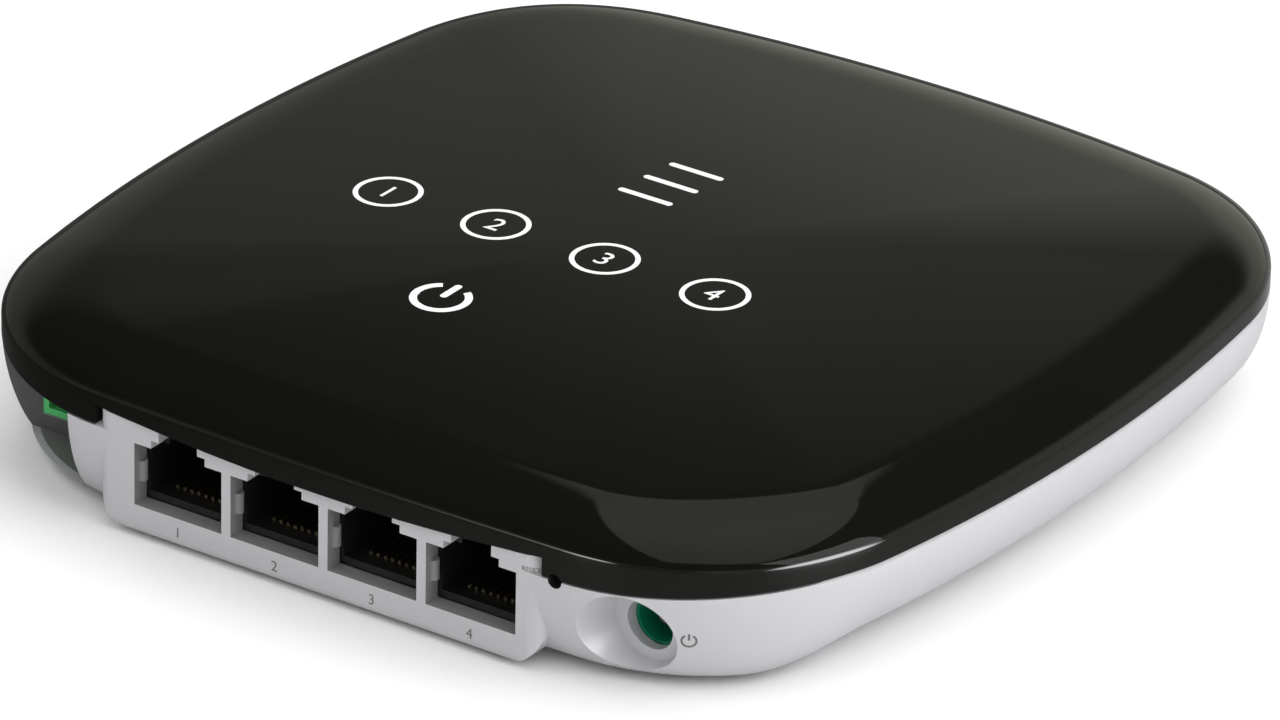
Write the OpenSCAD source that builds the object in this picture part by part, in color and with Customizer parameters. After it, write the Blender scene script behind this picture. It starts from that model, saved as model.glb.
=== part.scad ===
// Low square fibre gateway: a gloss cover over a tapered base, with a bank of
// network jacks, a fibre socket, a power inlet and a reset pinhole on one side.
// X runs along the port side, +Y from the ports to the back, +Z up; the origin is
// under the middle of the body, on the surface it stands on.

/* [Body] */
// Width and depth of the body across its bowed sides
body_size = 130; // [124:1:140]
// Radius of the bow of the left, right and back sides
side_bow_r = 240; // [200:10:400]
// Radius of the flatter bow of the port side
front_bow_r = 900; // [600:50:1500]
// Radius of the four plan corners
corner_r = 30; // [26:1:34]
// Height of the line where cover and base meet
parting_z = 14.5; // [14:0.1:15.5]
// Straight band of the cover above that line
cover_band = 2; // [1.5:0.1:3]
// Height of the rounded rim above the band
rim_h = 4.2; // [3.8:0.1:6]
// Width of the rounded rim in plan
rim_w = 7; // [5:0.5:10]
// Rise of the crown from the rim to the middle of the top
crown_h = 0.9; // [0.4:0.1:2]
// Wall thickness of the cover
cover_wall = 1.7; // [1.4:0.1:2]
// Wall thickness of the base
base_wall = 1.8; // [1.5:0.1:2]
// Thickness of the base floor
floor_t = 1.8; // [1.5:0.1:2]
// How far the base draws in under the middle of a side
side_tuck = 13.6; // [9:0.1:15]
// How far the base draws in under a corner
corner_tuck = 6.5; // [5:0.1:8]
// How far the base draws in under the port side
front_tuck = 6.5; // [5:0.1:8]
// Chamfer along the upper edge of the base
base_chamfer = 0.4; // [0.2:0.05:0.6]
// How far the lower edge of the cover dips along the port side
skirt_drop = 1.5; // [1:0.1:1.8]
// Distance in front of the middle where that dip starts
skirt_start = 45; // [40:1:48]
// Depth of the locating tongue below the cover
tongue_h = 1.2; // [0.8:0.1:1.6]
// Thickness of the locating tongue
tongue_t = 1.1; // [0.8:0.1:1.4]
// Clearance between pieces that fit together
fit_gap = 0.15; // [0.1:0.05:0.25]

/* [Port panel] */
// Distance of the left end of the panel from the middle
panel_left = 33; // [32.5:0.1:33.5]
// Distance of the right end of the panel from the middle
panel_right = 30.7; // [30.4:0.1:31]
// Chamfer along the two upright ends of the panel
panel_end = 0.6; // [0.4:0.1:0.8]
// How far the panel stands back from the widest point of the port side
panel_setback = 0.6; // [0.3:0.1:1.2]
// Thickness of the panel
panel_t = 2.4; // [1.8:0.1:2.8]
// How far the upper edge of the panel lies below the parting line at its middle
panel_sag = 0.45; // [0.3:0.05:0.6]
// Rise of the upper edge of the panel from its middle to its left end
panel_rise = 1.45; // [1:0.05:1.8]
// Radius of the rolled lower edge of the panel
panel_round = 2.5; // [2:0.1:3]
// Radius of the lower corners of the panel
panel_corner = 4.5; // [3.5:0.1:5]
// Pitch of the network jacks
jack_pitch = 13.97; // [13.8:0.01:14.4]
// Number of network jacks
jack_count = 4; // [4:1:4]
// Width of a jack window
window_w = 12.67; // [12.2:0.01:12.8]
// Height of the lower edge of the windows
window_z = 4.4; // [4.2:0.1:5]
// Height of the wide part of a window
window_h = 8; // [7.6:0.1:8.1]
// Width of the lower latch step of a window
latch_wide = 7.8; // [7.4:0.1:8.6]
// Height of the lower latch step
latch_step = 1; // [0.8:0.1:1.1]
// Width of the upper latch slot
latch_slot = 5.6; // [5.2:0.1:6.4]
// Radius of the guide nub on the left wall of each window
nub_r = 0.7; // [0.5:0.1:0.9]
// Height of that nub
nub_h = 2.6; // [2:0.1:3.2]

/* [Network jacks] */
// Extra width of the jack block past its outer jacks
jack_end = 1.2; // [0.8:0.1:1.6]
// Depth of the jack block
jack_depth = 17.6; // [16:0.2:18]
// Height of the jack block above the board
jack_h = 12.4; // [12:0.1:12.8]
// Thickness of the floor of a jack cavity
jack_floor = 0.9; // [0.6:0.1:1.1]
// Width of a jack cavity
cavity_w = 11.8; // [11.7:0.05:12.2]
// Height of the wide part of a jack cavity
cavity_h = 6.8; // [6.7:0.1:7.2]
// Depth of a jack cavity
cavity_depth = 14; // [13:0.2:14.4]
// Width of the latch channel of a jack cavity
channel_w = 6.2; // [6:0.1:6.6]
// Height of the latch channel
channel_h = 2.6; // [2:0.1:3]
// Number of contact wires in a jack
contact_count = 8; // [8:1:8]
// Pitch of the contact wires
contact_pitch = 1.016; // [1:0.002:1.03]
// Width and thickness of a contact wire
contact_t = 0.42; // [0.35:0.01:0.5]
// Height to which a contact wire springs up
contact_rise = 2.6; // [2:0.1:3]
// Distance from the mouth of a jack to the bend of its contact wires
contact_set = 4.2; // [3.6:0.1:4.8]
// Length of a contact wire in front of the bend
contact_tail = 2; // [1:0.1:3]
// Length of a contact wire behind the bend
contact_run = 8.4; // [7:0.1:9]

/* [Fibre socket] */
// Distance of the middle of the socket from the end of the panel
fibre_beside = 12; // [11.8:0.1:12.8]
// Height of the middle of the socket
fibre_z = 9; // [8.8:0.1:9.3]
// How far the recess wall stands behind the first place where the body takes the flange
fibre_set = 0.4; // [0:0.1:2]
// Distance of the edge of the recess from the end of the panel
recess_beside = 4.5; // [4.3:0.1:4.8]
// Height of the ledge left under the recess
recess_z = 2.4; // [2.2:0.1:3]
// Width of the adapter body
adapter_w = 10.6; // [10.4:0.1:10.8]
// Height of the adapter body
adapter_h = 9; // [8.8:0.1:9.2]
// Length of the adapter body
adapter_len = 19; // [17:0.5:20]
// Width of the plug opening of the adapter
plug_w = 9; // [8.9:0.05:9.1]
// Height of the plug opening
plug_h = 7.4; // [7.3:0.05:7.5]
// Depth of the plug opening
plug_depth = 11; // [10:0.5:12]
// Width of the key slot above the plug opening
key_w = 2.6; // [2.4:0.1:2.8]
// Length of the key slot
key_len = 5.5; // [4:0.5:7]
// Width of the adapter flange
flange_w = 11.8; // [11.6:0.1:12]
// Height of the adapter flange
flange_h = 9.3; // [9.2:0.05:9.4]
// Thickness of the adapter flange
flange_t = 1.6; // [1.2:0.1:2]
// Outer radius of the alignment sleeve
sleeve_r = 1.6; // [1.5:0.05:1.8]
// Inner radius of the alignment sleeve
sleeve_bore_r = 1.26; // [1.24:0.01:1.3]
// Length of the alignment sleeve
sleeve_len = 10; // [9:0.2:10.4]
// Length of the optical module behind the adapter
optics_len = 14; // [12:0.5:16]
// Width of the optical module
optics_w = 9.6; // [8.6:0.1:10]
// Height of the optical module above the fibre axis
optics_rise = 3.2; // [2.8:0.1:4]
// Radius of the round cans of the optical module
can_r = 2.4; // [2:0.1:2.8]

/* [Power inlet] */
// Distance of the middle of the inlet from the end of the panel
power_beside = 10.9; // [10.8:0.1:11.6]
// Height of the middle of the inlet
power_z = 7.6; // [7.5:0.05:8.2]
// Depth of the scoop in front of the inlet
scoop_depth = 4.8; // [4.4:0.1:5.6]
// Radius of the mouth of the scoop in front of the inlet
scoop_r = 5.7; // [5.4:0.1:5.9]
// Radius of the scoop where it ends around the inlet
scoop_end_r = 4.4; // [4.3:0.1:4.8]
// How far the scoop lies beside the inlet, towards the panel
scoop_dx = 1.4; // [1.2:0.1:1.5]
// How far the scoop lies below the inlet
scoop_dz = 0.2; // [0:0.1:0.4]
// Radius of the inlet hole
inlet_r = 3.2; // [3.1:0.05:3.4]
// Radius of the bore of the power jack
power_bore_r = 2.9; // [2.8:0.05:3]
// Radius of the centre pin
power_pin_r = 1; // [0.8:0.05:1.25]
// Width of the power jack
power_w = 8.6; // [8.2:0.1:9]
// Height of the power jack above its axis
power_up = 4.2; // [3.8:0.1:4.3]
// Length of the power jack
power_len = 13.4; // [12:0.2:14.4]
// Depth of the bore of the power jack
power_depth = 9.6; // [9:0.1:10.4]
// Depth of the seat of the centre pin behind that bore
pin_root = 1.5; // [1:0.1:1.8]
// How far the tip of the centre pin stays behind the mouth of the jack
pin_back = 1; // [0.5:0.1:2]

/* [Reset] */
// Distance of the reset pinhole from the end of the panel
reset_beside = 1.9; // [1.8:0.1:2.1]
// Height of the reset pinhole
reset_z = 12.9; // [12.7:0.1:13.1]
// Radius of the reset pinhole
reset_hole_r = 0.9; // [0.8:0.05:0.95]
// Radius of the reset plunger
plunger_r = 0.7; // [0.5:0.05:0.8]
// Travel of the reset plunger
plunger_travel = 0.5; // [0.3:0.05:0.6]
// Length of the reset plunger
plunger_len = 2.4; // [2:0.1:2.6]
// Width of the reset switch
switch_w = 5; // [4.6:0.1:5.4]
// Depth of the reset switch
switch_d = 3.6; // [3.2:0.1:4]
// Height of the switch body
switch_h = 4; // [3.6:0.1:4.4]
// Gap between the wall behind the panel and the switch
switch_gap = 1.5; // [1.3:0.1:1.8]

/* [Board] */
// Distance of the side edges of the board from the sides of the body
board_side = 14; // [13.5:0.5:18]
// Distance of the back edge of the board from the back of the body
board_rear = 16; // [15.5:0.5:20]
// Thickness of the circuit board
board_t = 1.2; // [1:0.1:1.3]
// Gap between the base floor and the board
board_lift = 0.7; // [0.6:0.1:0.9]
// Distance of the edge of the board behind the mouth of the power jack
board_set = 0.6; // [0.4:0.1:1]
// Corner radius of the circuit board
board_corner_r = 20; // [14:1:24]
// Distance of the board screws from the sides of the body
board_screw_side = 19; // [18:0.5:21]
// Distance of the front board screws behind the optical module
board_screw_gap = 9; // [8:0.5:11]
// Place of the back board screws, along Y
board_screw_back = 24; // [22:0.5:27]

/* [Indicators] */
// Middle of the row of port indicators, along X
row_x = -9; // [-11:0.1:-8]
// Place of the row of port indicators, along Y
row_y = -6.7; // [-8:0.1:-6]
// Pitch of the port indicators
row_pitch = 15.9; // [15:0.1:17]
// Place of the power indicator beside the row, along Y
power_mark_dy = -19.8; // [-20:0.1:-18]
// Offset of the power indicator from the middle of the row
power_mark_dx = -1.7; // [-3:0.1:3]
// Place of the three signal bars beside the row, along Y
bars_dy = 21.8; // [20:0.1:23]
// Pitch of the three signal bars
bars_pitch = 4.8; // [4:0.1:5.4]
// Offset of the bars from the middle of the row
bars_dx = 1.9; // [0:0.1:3]
// Length of a signal bar
bars_len = 7.6; // [6:0.1:9]
// Width of a signal bar
bar_w = 1.2; // [0.8:0.1:1.6]
// Radius of a light guide
guide_r = 3; // [2.4:0.1:3.4]
// Wall of the light shield around a guide
shade_wall = 1; // [0.8:0.1:1.2]
// Thickness of the web that joins the light shield
shade_web = 1.2; // [1:0.1:1.6]
// Side of an indicator lamp
lamp_w = 2; // [1.6:0.1:2.4]
// Height of an indicator lamp
lamp_h = 0.8; // [0.6:0.1:1]

/* [Circuit] */
// Place of the processor, along X
chip_x = 27; // [26:0.5:28]
// Place of the processor, along Y
chip_y = 16; // [15:0.5:18]
// Side of the processor
chip_w = 17; // [14:0.5:20]
// Height of the processor
chip_h = 1.6; // [1.2:0.1:2]
// Thickness of the pad between processor and heat plate
pad_t = 1; // [0.5:0.1:1.5]
// Side of the heat plate
plate_w = 30; // [26:1:32]
// Thickness of the heat plate and its fins
plate_t = 1.6; // [1.2:0.1:2.4]
// Height of the fins
fin_h = 3.2; // [2:0.2:5]
// Number of fins
fin_count = 7; // [5:1:8]
// Place of the radio shield, along X
radio_x = -26.5; // [-27:0.5:-26]
// Place of the radio shield, along Y
radio_y = 24; // [23:0.5:26]
// Width of the radio shield
radio_w = 20; // [16:1:20]
// Depth of the radio shield
radio_d = 16; // [12:1:16]
// Place of the shield beside the fibre socket, along X
optics_shield_x = -28; // [-29:0.5:-27]
// Gap between the line transformers and the shield beside the fibre socket
optics_shield_gap = 6; // [5:0.5:7]
// Width of the shield beside the fibre socket
optics_shield_w = 13.5; // [12:0.5:14]
// Depth of the shield beside the fibre socket
optics_shield_d = 12; // [10:0.5:13]
// Height of the shields
shield_h = 2.6; // [2:0.1:3.2]
// Sheet thickness of the shields and antennas
sheet_t = 0.3; // [0.2:0.05:0.4]
// Distance between the middles of the two line transformers
magnetic_pitch = 24; // [22:0.5:25]
// Gap between the jacks and the line transformers
magnetic_gap = 1; // [0.6:0.1:1.2]
// Length of a line transformer
magnetic_len = 20; // [16:0.5:21]
// Depth of a line transformer
magnetic_d = 6.4; // [5.8:0.2:7]
// Height of a line transformer
magnetic_h = 5; // [4:0.2:6]
// Gap between the power jack and the buffer capacitors
cap_gap = 6.5; // [6:0.5:8]
// Distance between the middles of the two buffer capacitors
cap_pitch = 7.3; // [6.6:0.1:8.2]
// Height of the square foot of a buffer capacitor
cap_foot = 1; // [0.8:0.1:1.4]
// Radius of a buffer capacitor
cap_r = 3.15; // [2.5:0.05:3.25]
// Height of a buffer capacitor
cap_h = 7.6; // [5.4:0.1:8]
// Gap between the capacitors and the power inductor
coil_gap = 2; // [1:0.1:3]
// Side of the power inductor
coil_w = 7; // [5:0.2:8]
// Height of the power inductor
coil_h = 4; // [3:0.1:5]
// Length of an antenna along the edge of the board
antenna_len = 30; // [24:1:34]
// Height of an antenna above the board
antenna_h = 8; // [6:0.2:9]
// Width of the legs and the arm of an antenna
antenna_leg = 2; // [1.4:0.1:2.6]
// Distance of an antenna from the middle of the board
antenna_x = 5; // [3:0.5:6]
// Distance of an antenna from the back edge of the board
antenna_edge = 2.4; // [1.6:0.1:3]

/* [Fasteners and feet] */
// Half spacing of the two case screws behind the ports
front_screw_x = 33.5; // [33:0.1:34]
// Least distance of those two screws behind the jacks and the fibre recess
front_screw_gap = 4.2; // [4:0.1:5]
// Distance of the two back case screws from the sides of the body
back_screw_side = 25; // [24:0.5:27]
// Distance of the two back case screws from the back of the body
back_screw_rear = 23; // [22:0.5:25]
// Shank radius of the screws
screw_r = 1.25; // [1:0.05:1.4]
// Head radius of the screws
head_r = 2.4; // [2:0.1:2.5]
// Head height of the screws
head_h = 1.2; // [1:0.1:1.3]
// Length of the board screws under the head
board_screw_len = 2.4; // [2.2:0.1:2.6]
// Length of the case screws under the head
case_screw_len = 11; // [9:0.5:13]
// Radius of a screw boss
boss_r = 3; // [2.8:0.1:3.2]
// Distance of the feet from the sides of the body
foot_side = 29; // [27:0.5:31]
// Distance of the feet from the front and the back of the body
foot_end = 35; // [34:0.5:37]
// Radius of a foot
foot_r = 5; // [4:0.1:5.5]
// Height of a foot below the base
foot_proud = 0.8; // [0.5:0.1:1]
// Depth of the recess that holds a foot
foot_recess = 0.8; // [0.5:0.1:0.9]
// Number of cooling slots in the floor
vent_count = 9; // [5:1:11]
// Pitch of the cooling slots
vent_pitch = 4; // [3.5:0.1:5]
// Width of a cooling slot
vent_w = 1.6; // [1.2:0.1:2]
// Length of a cooling slot
vent_len = 16; // [12:1:20]
// Distance of the cooling slots behind the middle of the body
vent_y = 10; // [6:1:14]

/* [Hidden] */
$fn = 48;
eps = 0.01;
reach = 20;
screw_gap = 0.05;
plunger_gap = 0.1;
pilot_floor = 0.6;

half = body_size / 2;
base_z = foot_proud;
base_h = parting_z - base_z;
floor_z = base_z + floor_t;
band_z = parting_z + cover_band;
rim_z = band_z + rim_h;
inner_top = rim_z - cover_wall;
board_z = floor_z + board_lift;
board_top = board_z + board_t;

// Plan outline: five arcs per half, front middle to back middle, each point with its normal angle
side_k = half - side_bow_r;
front_k = half - front_bow_r;
function meet(p, r, q, s) =
    let(d = norm(q - p), a = (r * r - s * s + d * d) / (2 * d), h = sqrt(r * r - a * a), u = (q - p) / d)
    p + a * u + h * [u[1], -u[0]];
front_c = meet([0, front_k], front_bow_r - corner_r, [side_k, 0], side_bow_r - corner_r);
back_c = meet([0, side_k], side_bow_r - corner_r, [side_k, 0], side_bow_r - corner_r);
front_turn = atan2(front_c[0], front_c[1] - front_k);
side_turn_f = atan2(front_c[1], front_c[0] - side_k);
side_turn_b = atan2(back_c[1], back_c[0] - side_k);
function arc(c, r, a, b, n) = [for (i = [0 : n - 1])
    let(t = a + (b - a) * i / n)
    [c[0] + r * cos(t), c[1] + r * sin(t), t]];
half_outline = concat(
    arc([0, -front_k], front_bow_r, -90, -90 + front_turn, 4),
    arc([front_c[0], -front_c[1]], corner_r, -90 + front_turn, -side_turn_f, 10),
    arc([side_k, 0], side_bow_r, -side_turn_f, side_turn_b, 10),
    arc(back_c, corner_r, side_turn_b, 90 - side_turn_b, 10),
    arc([0, side_k], side_bow_r, 90 - side_turn_b, 90, 4));
plan = concat(half_outline, [[0, half, 90]],
    [for (i = [len(half_outline) - 1 : -1 : 1]) let(p = half_outline[i]) [-p[0], p[1], 180 - p[2]]]);

// Where a front corner of the body, drawn in by some amount, lies at a distance from the middle
function corner_y(x, in) = -front_c[1] - sqrt(pow(corner_r - in, 2) - pow(x - front_c[0], 2));

// Dip of the cover's lower edge, and of the base below it, at a depth
function dip(y) = skirt_drop * pow(max(0, (-y - skirt_start) / (half - skirt_start)), 1.5);

// Port side, from the panel outwards
panel_y = -half + panel_setback;
panel_back = panel_y + panel_t;
jack_front = panel_back + fit_gap;
jack_w = jack_pitch * jack_count + jack_end;
jack_back = jack_front + jack_depth;
bay_half = jack_w / 2 + fit_gap;
cavity_z = board_top + jack_floor;
recess_edge_x = panel_left + recess_beside;
recess_in = recess_edge_x - panel_t;
fibre_x = panel_left + fibre_beside;
adapter_z = fibre_z - adapter_h / 2;
flange_in = base_wall + fit_gap + corner_tuck * (1 - cos(asin((parting_z - adapter_z) / base_h)));
fibre_wall = corner_y(fibre_x + flange_w / 2, flange_in) + fibre_set;
recess_back = fibre_wall + base_wall;
power_x = panel_right + power_beside;
power_wall = corner_y(power_x, 0) + scoop_depth;
power_front = power_wall + base_wall + fit_gap;
reset_x = panel_right + reset_beside;
pocket_x = reset_x + switch_w / 2 + fit_gap;
pocket_y = panel_back + base_wall;
switch_y = pocket_y + switch_gap;
switch_z = reset_z - switch_h / 2;
panel_depth = power_wall + base_wall - panel_y;

// Board, fasteners and feet, from the outline and from what they clear
adapter_y = fibre_wall + fit_gap;
optics_y = adapter_y + adapter_len + fit_gap;
board_w = body_size - 2 * board_side;
board_front = power_front + board_set;
board_back = half - board_rear;
board_d = board_back - board_front;
board_screw_x = half - board_screw_side;
board_screw_front = optics_y + optics_len + can_r + board_screw_gap;
front_screw_y = max(jack_back, recess_back) + front_screw_gap;
back_screw_x = half - back_screw_side;
back_screw_y = half - back_screw_rear;
foot_x = half - foot_side;
foot_y = half - foot_end;

// One ring of the body: the plan drawn in along its normals, shrunk about the middle and set at a height.
// The draw blends from its side or front value to its corner value with the turn of the normal.
function ring(side, front, corner, z, shrink = 1, low = 0) = [for (p = plan)
    let(flat = sin(p[2]) < -sin(45) ? front : side, in = flat + (corner - flat) * pow(sin(2 * p[2]), 2))
    [(p[0] - in * cos(p[2])) * shrink, (p[1] - in * sin(p[2])) * shrink, z - low * dip(p[1])]];
function even_ring(in, z, shrink = 1, low = 0) = ring(in, in, in, z, shrink, low);

// A closed skin over a stack of rings, listed from the lowest upwards or, for a shell, from inside to out
module loft(rings) {
    n = len(rings[0]);
    m = len(rings);
    sides = [for (j = [0 : m - 2], i = [0 : n - 1]) let(a = j * n + i, b = j * n + (i + 1) % n)
        each [[a, a + n, b + n], [a, b + n, b]]];
    polyhedron([for (r = rings) each r],
        concat([[for (i = [0 : n - 1]) i]], sides, [[for (i = [n - 1 : -1 : 0]) (m - 1) * n + i]]));
}

module at_corners(x, y) {
    for (sx = [-1, 1], sy = [-1, 1]) translate([sx * x, sy * y, 0]) children();
}

module at_board_screws() {
    for (s = [-1, 1], y = [board_screw_front, board_screw_back])
        translate([s * board_screw_x, y, 0]) children();
}

module at_case_screws() {
    for (s = [-1, 1]) {
        translate([s * front_screw_x, front_screw_y, 0]) children();
        translate([s * back_screw_x, back_screw_y, 0]) children();
    }
}

module plan_shape(in) {
    polygon([for (p = even_ring(in, 0)) [p[0], p[1]]]);
}

// A cylinder along Y from y0 to y1
module along_y(x, z, r, y0, y1) {
    translate([x, y1, z]) rotate([90, 0, 0]) cylinder(h = y1 - y0, r = r);
}

// A box given by its middle in X, its lower corner in Y and Z, and its size
module block(x, y, z, size) {
    translate([x - size[0] / 2, y, z]) cube(size);
}

module each_jack() {
    for (i = [0 : jack_count - 1]) translate([(i - (jack_count - 1) / 2) * jack_pitch, 0, 0]) children();
}

// Cover: one shell from the middle of its ceiling, round its lower edge and tongue, to the top
rim_steps = 7;
tongue_in = base_wall + fit_gap;
function cover_inner() = concat(
    [for (s = [0.3, 0.7]) even_ring(rim_w, inner_top + crown_h * (1 - s * s), s)],
    [for (t = [90, 65, 35, 0])
        even_ring(rim_w - (rim_w - cover_wall) * cos(t), band_z + (rim_h - cover_wall) * sin(t))],
    [even_ring(tongue_in + tongue_t, band_z - cover_band / 2),
        even_ring(tongue_in + tongue_t, parting_z - tongue_h)],
    [even_ring(tongue_in, parting_z - tongue_h), even_ring(tongue_in, parting_z, low = 1)]);
function cover_outer() = concat(
    [even_ring(0, parting_z, low = 1)],
    [for (i = [0 : rim_steps]) let(t = 90 * i / rim_steps)
        even_ring(rim_w * (1 - cos(t)), band_z + rim_h * sin(t))],
    [for (s = [0.8, 0.55, 0.25]) even_ring(rim_w, rim_z + crown_h * (1 - s * s), s)]);

// Front view of the panel, grown all round: straight below, with an upper edge that lifts towards both ends
face_steps = 8;
panel_top = parting_z - panel_sag;
function panel_face(low, grow) = concat([[panel_right + grow, low]],
    [for (i = [0 : 2 * face_steps])
        let(x = panel_right + grow - (panel_left + panel_right + 2 * grow) * i / (2 * face_steps))
        [x, panel_top + panel_rise * pow(x / panel_left, 2) + grow]],
    [[-panel_left - grow, low]]);

post_z = board_top + fit_gap;
roof_t = cover_band / 2;
module top_cover() color("#161616") {
    difference() {
        union() {
            difference() {
                loft(concat(cover_inner(), cover_outer()));
                intersection() {
                    linear_extrude(parting_z) plan_shape(tongue_in - fit_gap);
                    block(0, -half, 0, [2 * half, half + recess_back + flange_t + 2 * fit_gap, parting_z]);
                }
                translate([0, panel_y + panel_depth, 0]) rotate([90, 0, 0]) linear_extrude(reach)
                    polygon(panel_face(parting_z - reach, fit_gap));
                along_y(reset_x, reset_z, reset_hole_r, -half - reach, switch_y);
                block(0, jack_front - fit_gap, parting_z - reach,
                    [2 * bay_half, panel_depth, reach + board_top + jack_h + fit_gap - parting_z]);
            }
            at_case_screws()
                translate([0, 0, post_z]) cylinder(h = inner_top - post_z + cover_wall / 2, r = boss_r);
            intersection() {
                translate([0, 0, parting_z]) linear_extrude(roof_t) plan_shape(tongue_in);
                translate([-half - reach, -half - reach, 0])
                    cube([half + reach - recess_in - fit_gap, half + reach + recess_back, half]);
            }
        }
        at_case_screws()
            translate([0, 0, post_z - eps]) cylinder(h = case_screw_len, r = screw_r + screw_gap);
    }
}

// Base
wall_steps = 8;
cavity_steps = 5;
function base_ring(t, in) =
    let(turn = 1 - cos(t))
    ring(side_tuck * turn + in, front_tuck * turn + in, corner_tuck * turn + in, parting_z - base_h * sin(t));
base_skin = concat(
    [for (i = [wall_steps : -1 : 1]) base_ring(90 * i / wall_steps, 0)],
    [even_ring(0, parting_z - base_chamfer), even_ring(base_chamfer, parting_z)]);
cavity_t = asin((parting_z - floor_z) / base_h);
base_cavity = concat(
    [for (i = [cavity_steps : -1 : 1]) base_ring(cavity_t * i / cavity_steps, base_wall)],
    [even_ring(base_wall, parting_z), even_ring(base_wall, parting_z + reach)]);

// What is taken off the upper edge of the base under the dipping edge of the cover
module dip_cut() {
    steps = 10;
    edge = [for (i = [0 : steps])
        let(y = -skirt_start - (half + 1 - skirt_start) * i / steps)
        [y, parting_z - dip(y) - min(fit_gap, dip(y))]];
    translate([-half - reach, 0, 0]) rotate([90, 0, 90]) linear_extrude(2 * (half + reach))
        polygon(concat(edge, [[edge[steps][0], 2 * parting_z], [edge[0][0], 2 * parting_z]]));
}

// The raised panel: its plan with chamfered ends, trimmed by its front view and by its rolled lower edge
module panel_boss() {
    back_y = panel_y + panel_depth;
    intersection() {
        linear_extrude(2 * parting_z)
            polygon([[panel_end - panel_left, panel_y], [panel_right - panel_end, panel_y],
                [panel_right, panel_y + panel_end], [panel_right, back_y],
                [-panel_left, back_y], [-panel_left, panel_y + panel_end]]);
        translate([0, back_y + reach, 0]) rotate([90, 0, 0]) linear_extrude(3 * reach) union() {
            polygon(panel_face(base_z + panel_corner, 0));
            translate([panel_corner - panel_left, base_z])
                square([panel_left + panel_right - 2 * panel_corner, parting_z - base_z - panel_corner]);
            for (x = [panel_corner - panel_left, panel_right - panel_corner])
                translate([x, base_z + panel_corner]) circle(r = panel_corner);
        }
        union() {
            block(0, panel_y + panel_round, base_z, [2 * half, reach, reach]);
            block(0, panel_y - reach, base_z + panel_round, [2 * half, 2 * reach, reach]);
            translate([-half, panel_y + panel_round, base_z + panel_round])
                rotate([0, 90, 0]) cylinder(h = 2 * half, r = panel_round);
        }
    }
}

// One window of the panel, with its stepped latch slot open at the top
module jack_window() {
    deep = reach + panel_t + eps;
    block(0, panel_y - reach, window_z, [window_w, deep, window_h]);
    block(0, panel_y - reach, window_z, [latch_wide, deep, window_h + latch_step]);
    block(0, panel_y - reach, window_z, [latch_slot, deep, reach]);
}

// What stays solid at the two ends of the port side, behind the recess, the pinhole and around the scoop
module corner_blocks() {
    translate([-half - reach, -half - reach, 0])
        cube([half + reach - recess_in, half + reach + recess_back, 2 * reach]);
    translate([pocket_x, -half - reach, 0])
        cube([half + reach - pocket_x, half + reach + power_wall + base_wall, 2 * reach]);
    translate([bay_half, -half - reach, 0])
        cube([half + reach - bay_half, half + reach + pocket_y, 2 * reach]);
}

module base_shell() color("#d9dade") {
    difference() {
        union() {
            difference() {
                loft(base_skin);
                difference() {
                    loft(base_cavity);
                    corner_blocks();
                }
                dip_cut();
                translate([-panel_left, panel_y - reach, 0])
                    cube([panel_left + panel_right, reach, 2 * reach]);
            }
            panel_boss();
            at_board_screws() translate([0, 0, floor_z - eps]) cylinder(h = board_lift + eps, r = boss_r);
            at_case_screws() translate([0, 0, floor_z - eps]) cylinder(h = board_lift + eps, r = boss_r);
        }
        block(0, panel_back, floor_z, [2 * bay_half, panel_depth, 2 * reach]);
        translate([0, pocket_y, board_z - fit_gap]) cube([pocket_x, panel_depth, 2 * reach]);
        block(0, panel_back, parting_z - skirt_drop, [2 * recess_in, panel_depth, 2 * reach]);
        each_jack() jack_window();
        translate([-half - reach, -half - reach, recess_z])
            cube([half + reach - recess_edge_x, half + reach + fibre_wall, 2 * reach]);
        block(-fibre_x, fibre_wall - reach, adapter_z - fit_gap,
            [adapter_w + 2 * fit_gap, reach + base_wall + eps, adapter_h + 2 * fit_gap]);
        translate([power_x - scoop_dx, power_wall, power_z - scoop_dz]) rotate([90, 0, 0])
            cylinder(h = half + power_wall, r1 = scoop_end_r, r2 = scoop_r);
        along_y(power_x, power_z, inlet_r, power_wall - eps, power_front);
        along_y(reset_x, reset_z, reset_hole_r, -half - reach, switch_y);
        at_board_screws() translate([0, 0, base_z + pilot_floor])
            cylinder(h = reach, r = screw_r + screw_gap);
        at_case_screws() {
            cylinder(h = reach, r = screw_r + fit_gap);
            cylinder(h = base_z + head_h, r = head_r + fit_gap);
        }
        at_corners(foot_x, foot_y) cylinder(h = base_z + foot_recess, r = foot_r + fit_gap);
        for (i = [0 : vent_count - 1])
            block((i - (vent_count - 1) / 2) * vent_pitch, vent_y, 0, [vent_w, vent_len, floor_z + eps]);
    }
    each_jack() translate([-window_w / 2, panel_back - nub_r - fit_gap, window_z + (window_h - nub_h) / 2])
        cylinder(h = nub_h, r = nub_r);
}

// Circuit board, with a tongue under the jacks and the switch, cut back around the recess of the fibre socket
module main_board() color("#1f5a3a") {
    tongue_y = pocket_y + fit_gap;
    difference() {
        translate([0, board_front + board_d / 2, board_z]) linear_extrude(board_t) union() {
            translate([fit_gap - bay_half, tongue_y - board_front - board_d / 2])
                square([bay_half + pocket_x - 2 * fit_gap, board_d / 2]);
            square([board_w - 2 * board_corner_r, board_d], center = true);
            square([board_w, board_d - 2 * board_corner_r], center = true);
            for (sx = [-1, 1], sy = [-1, 1])
                translate([sx * (board_w / 2 - board_corner_r), sy * (board_d / 2 - board_corner_r)])
                    circle(r = board_corner_r);
        }
        translate([-half, -half, 0])
            cube([half - recess_in + fit_gap, half + recess_back + fit_gap, half]);
        at_board_screws() cylinder(h = reach, r = screw_r + fit_gap);
        at_case_screws() cylinder(h = reach, r = screw_r + fit_gap);
    }
}

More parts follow.
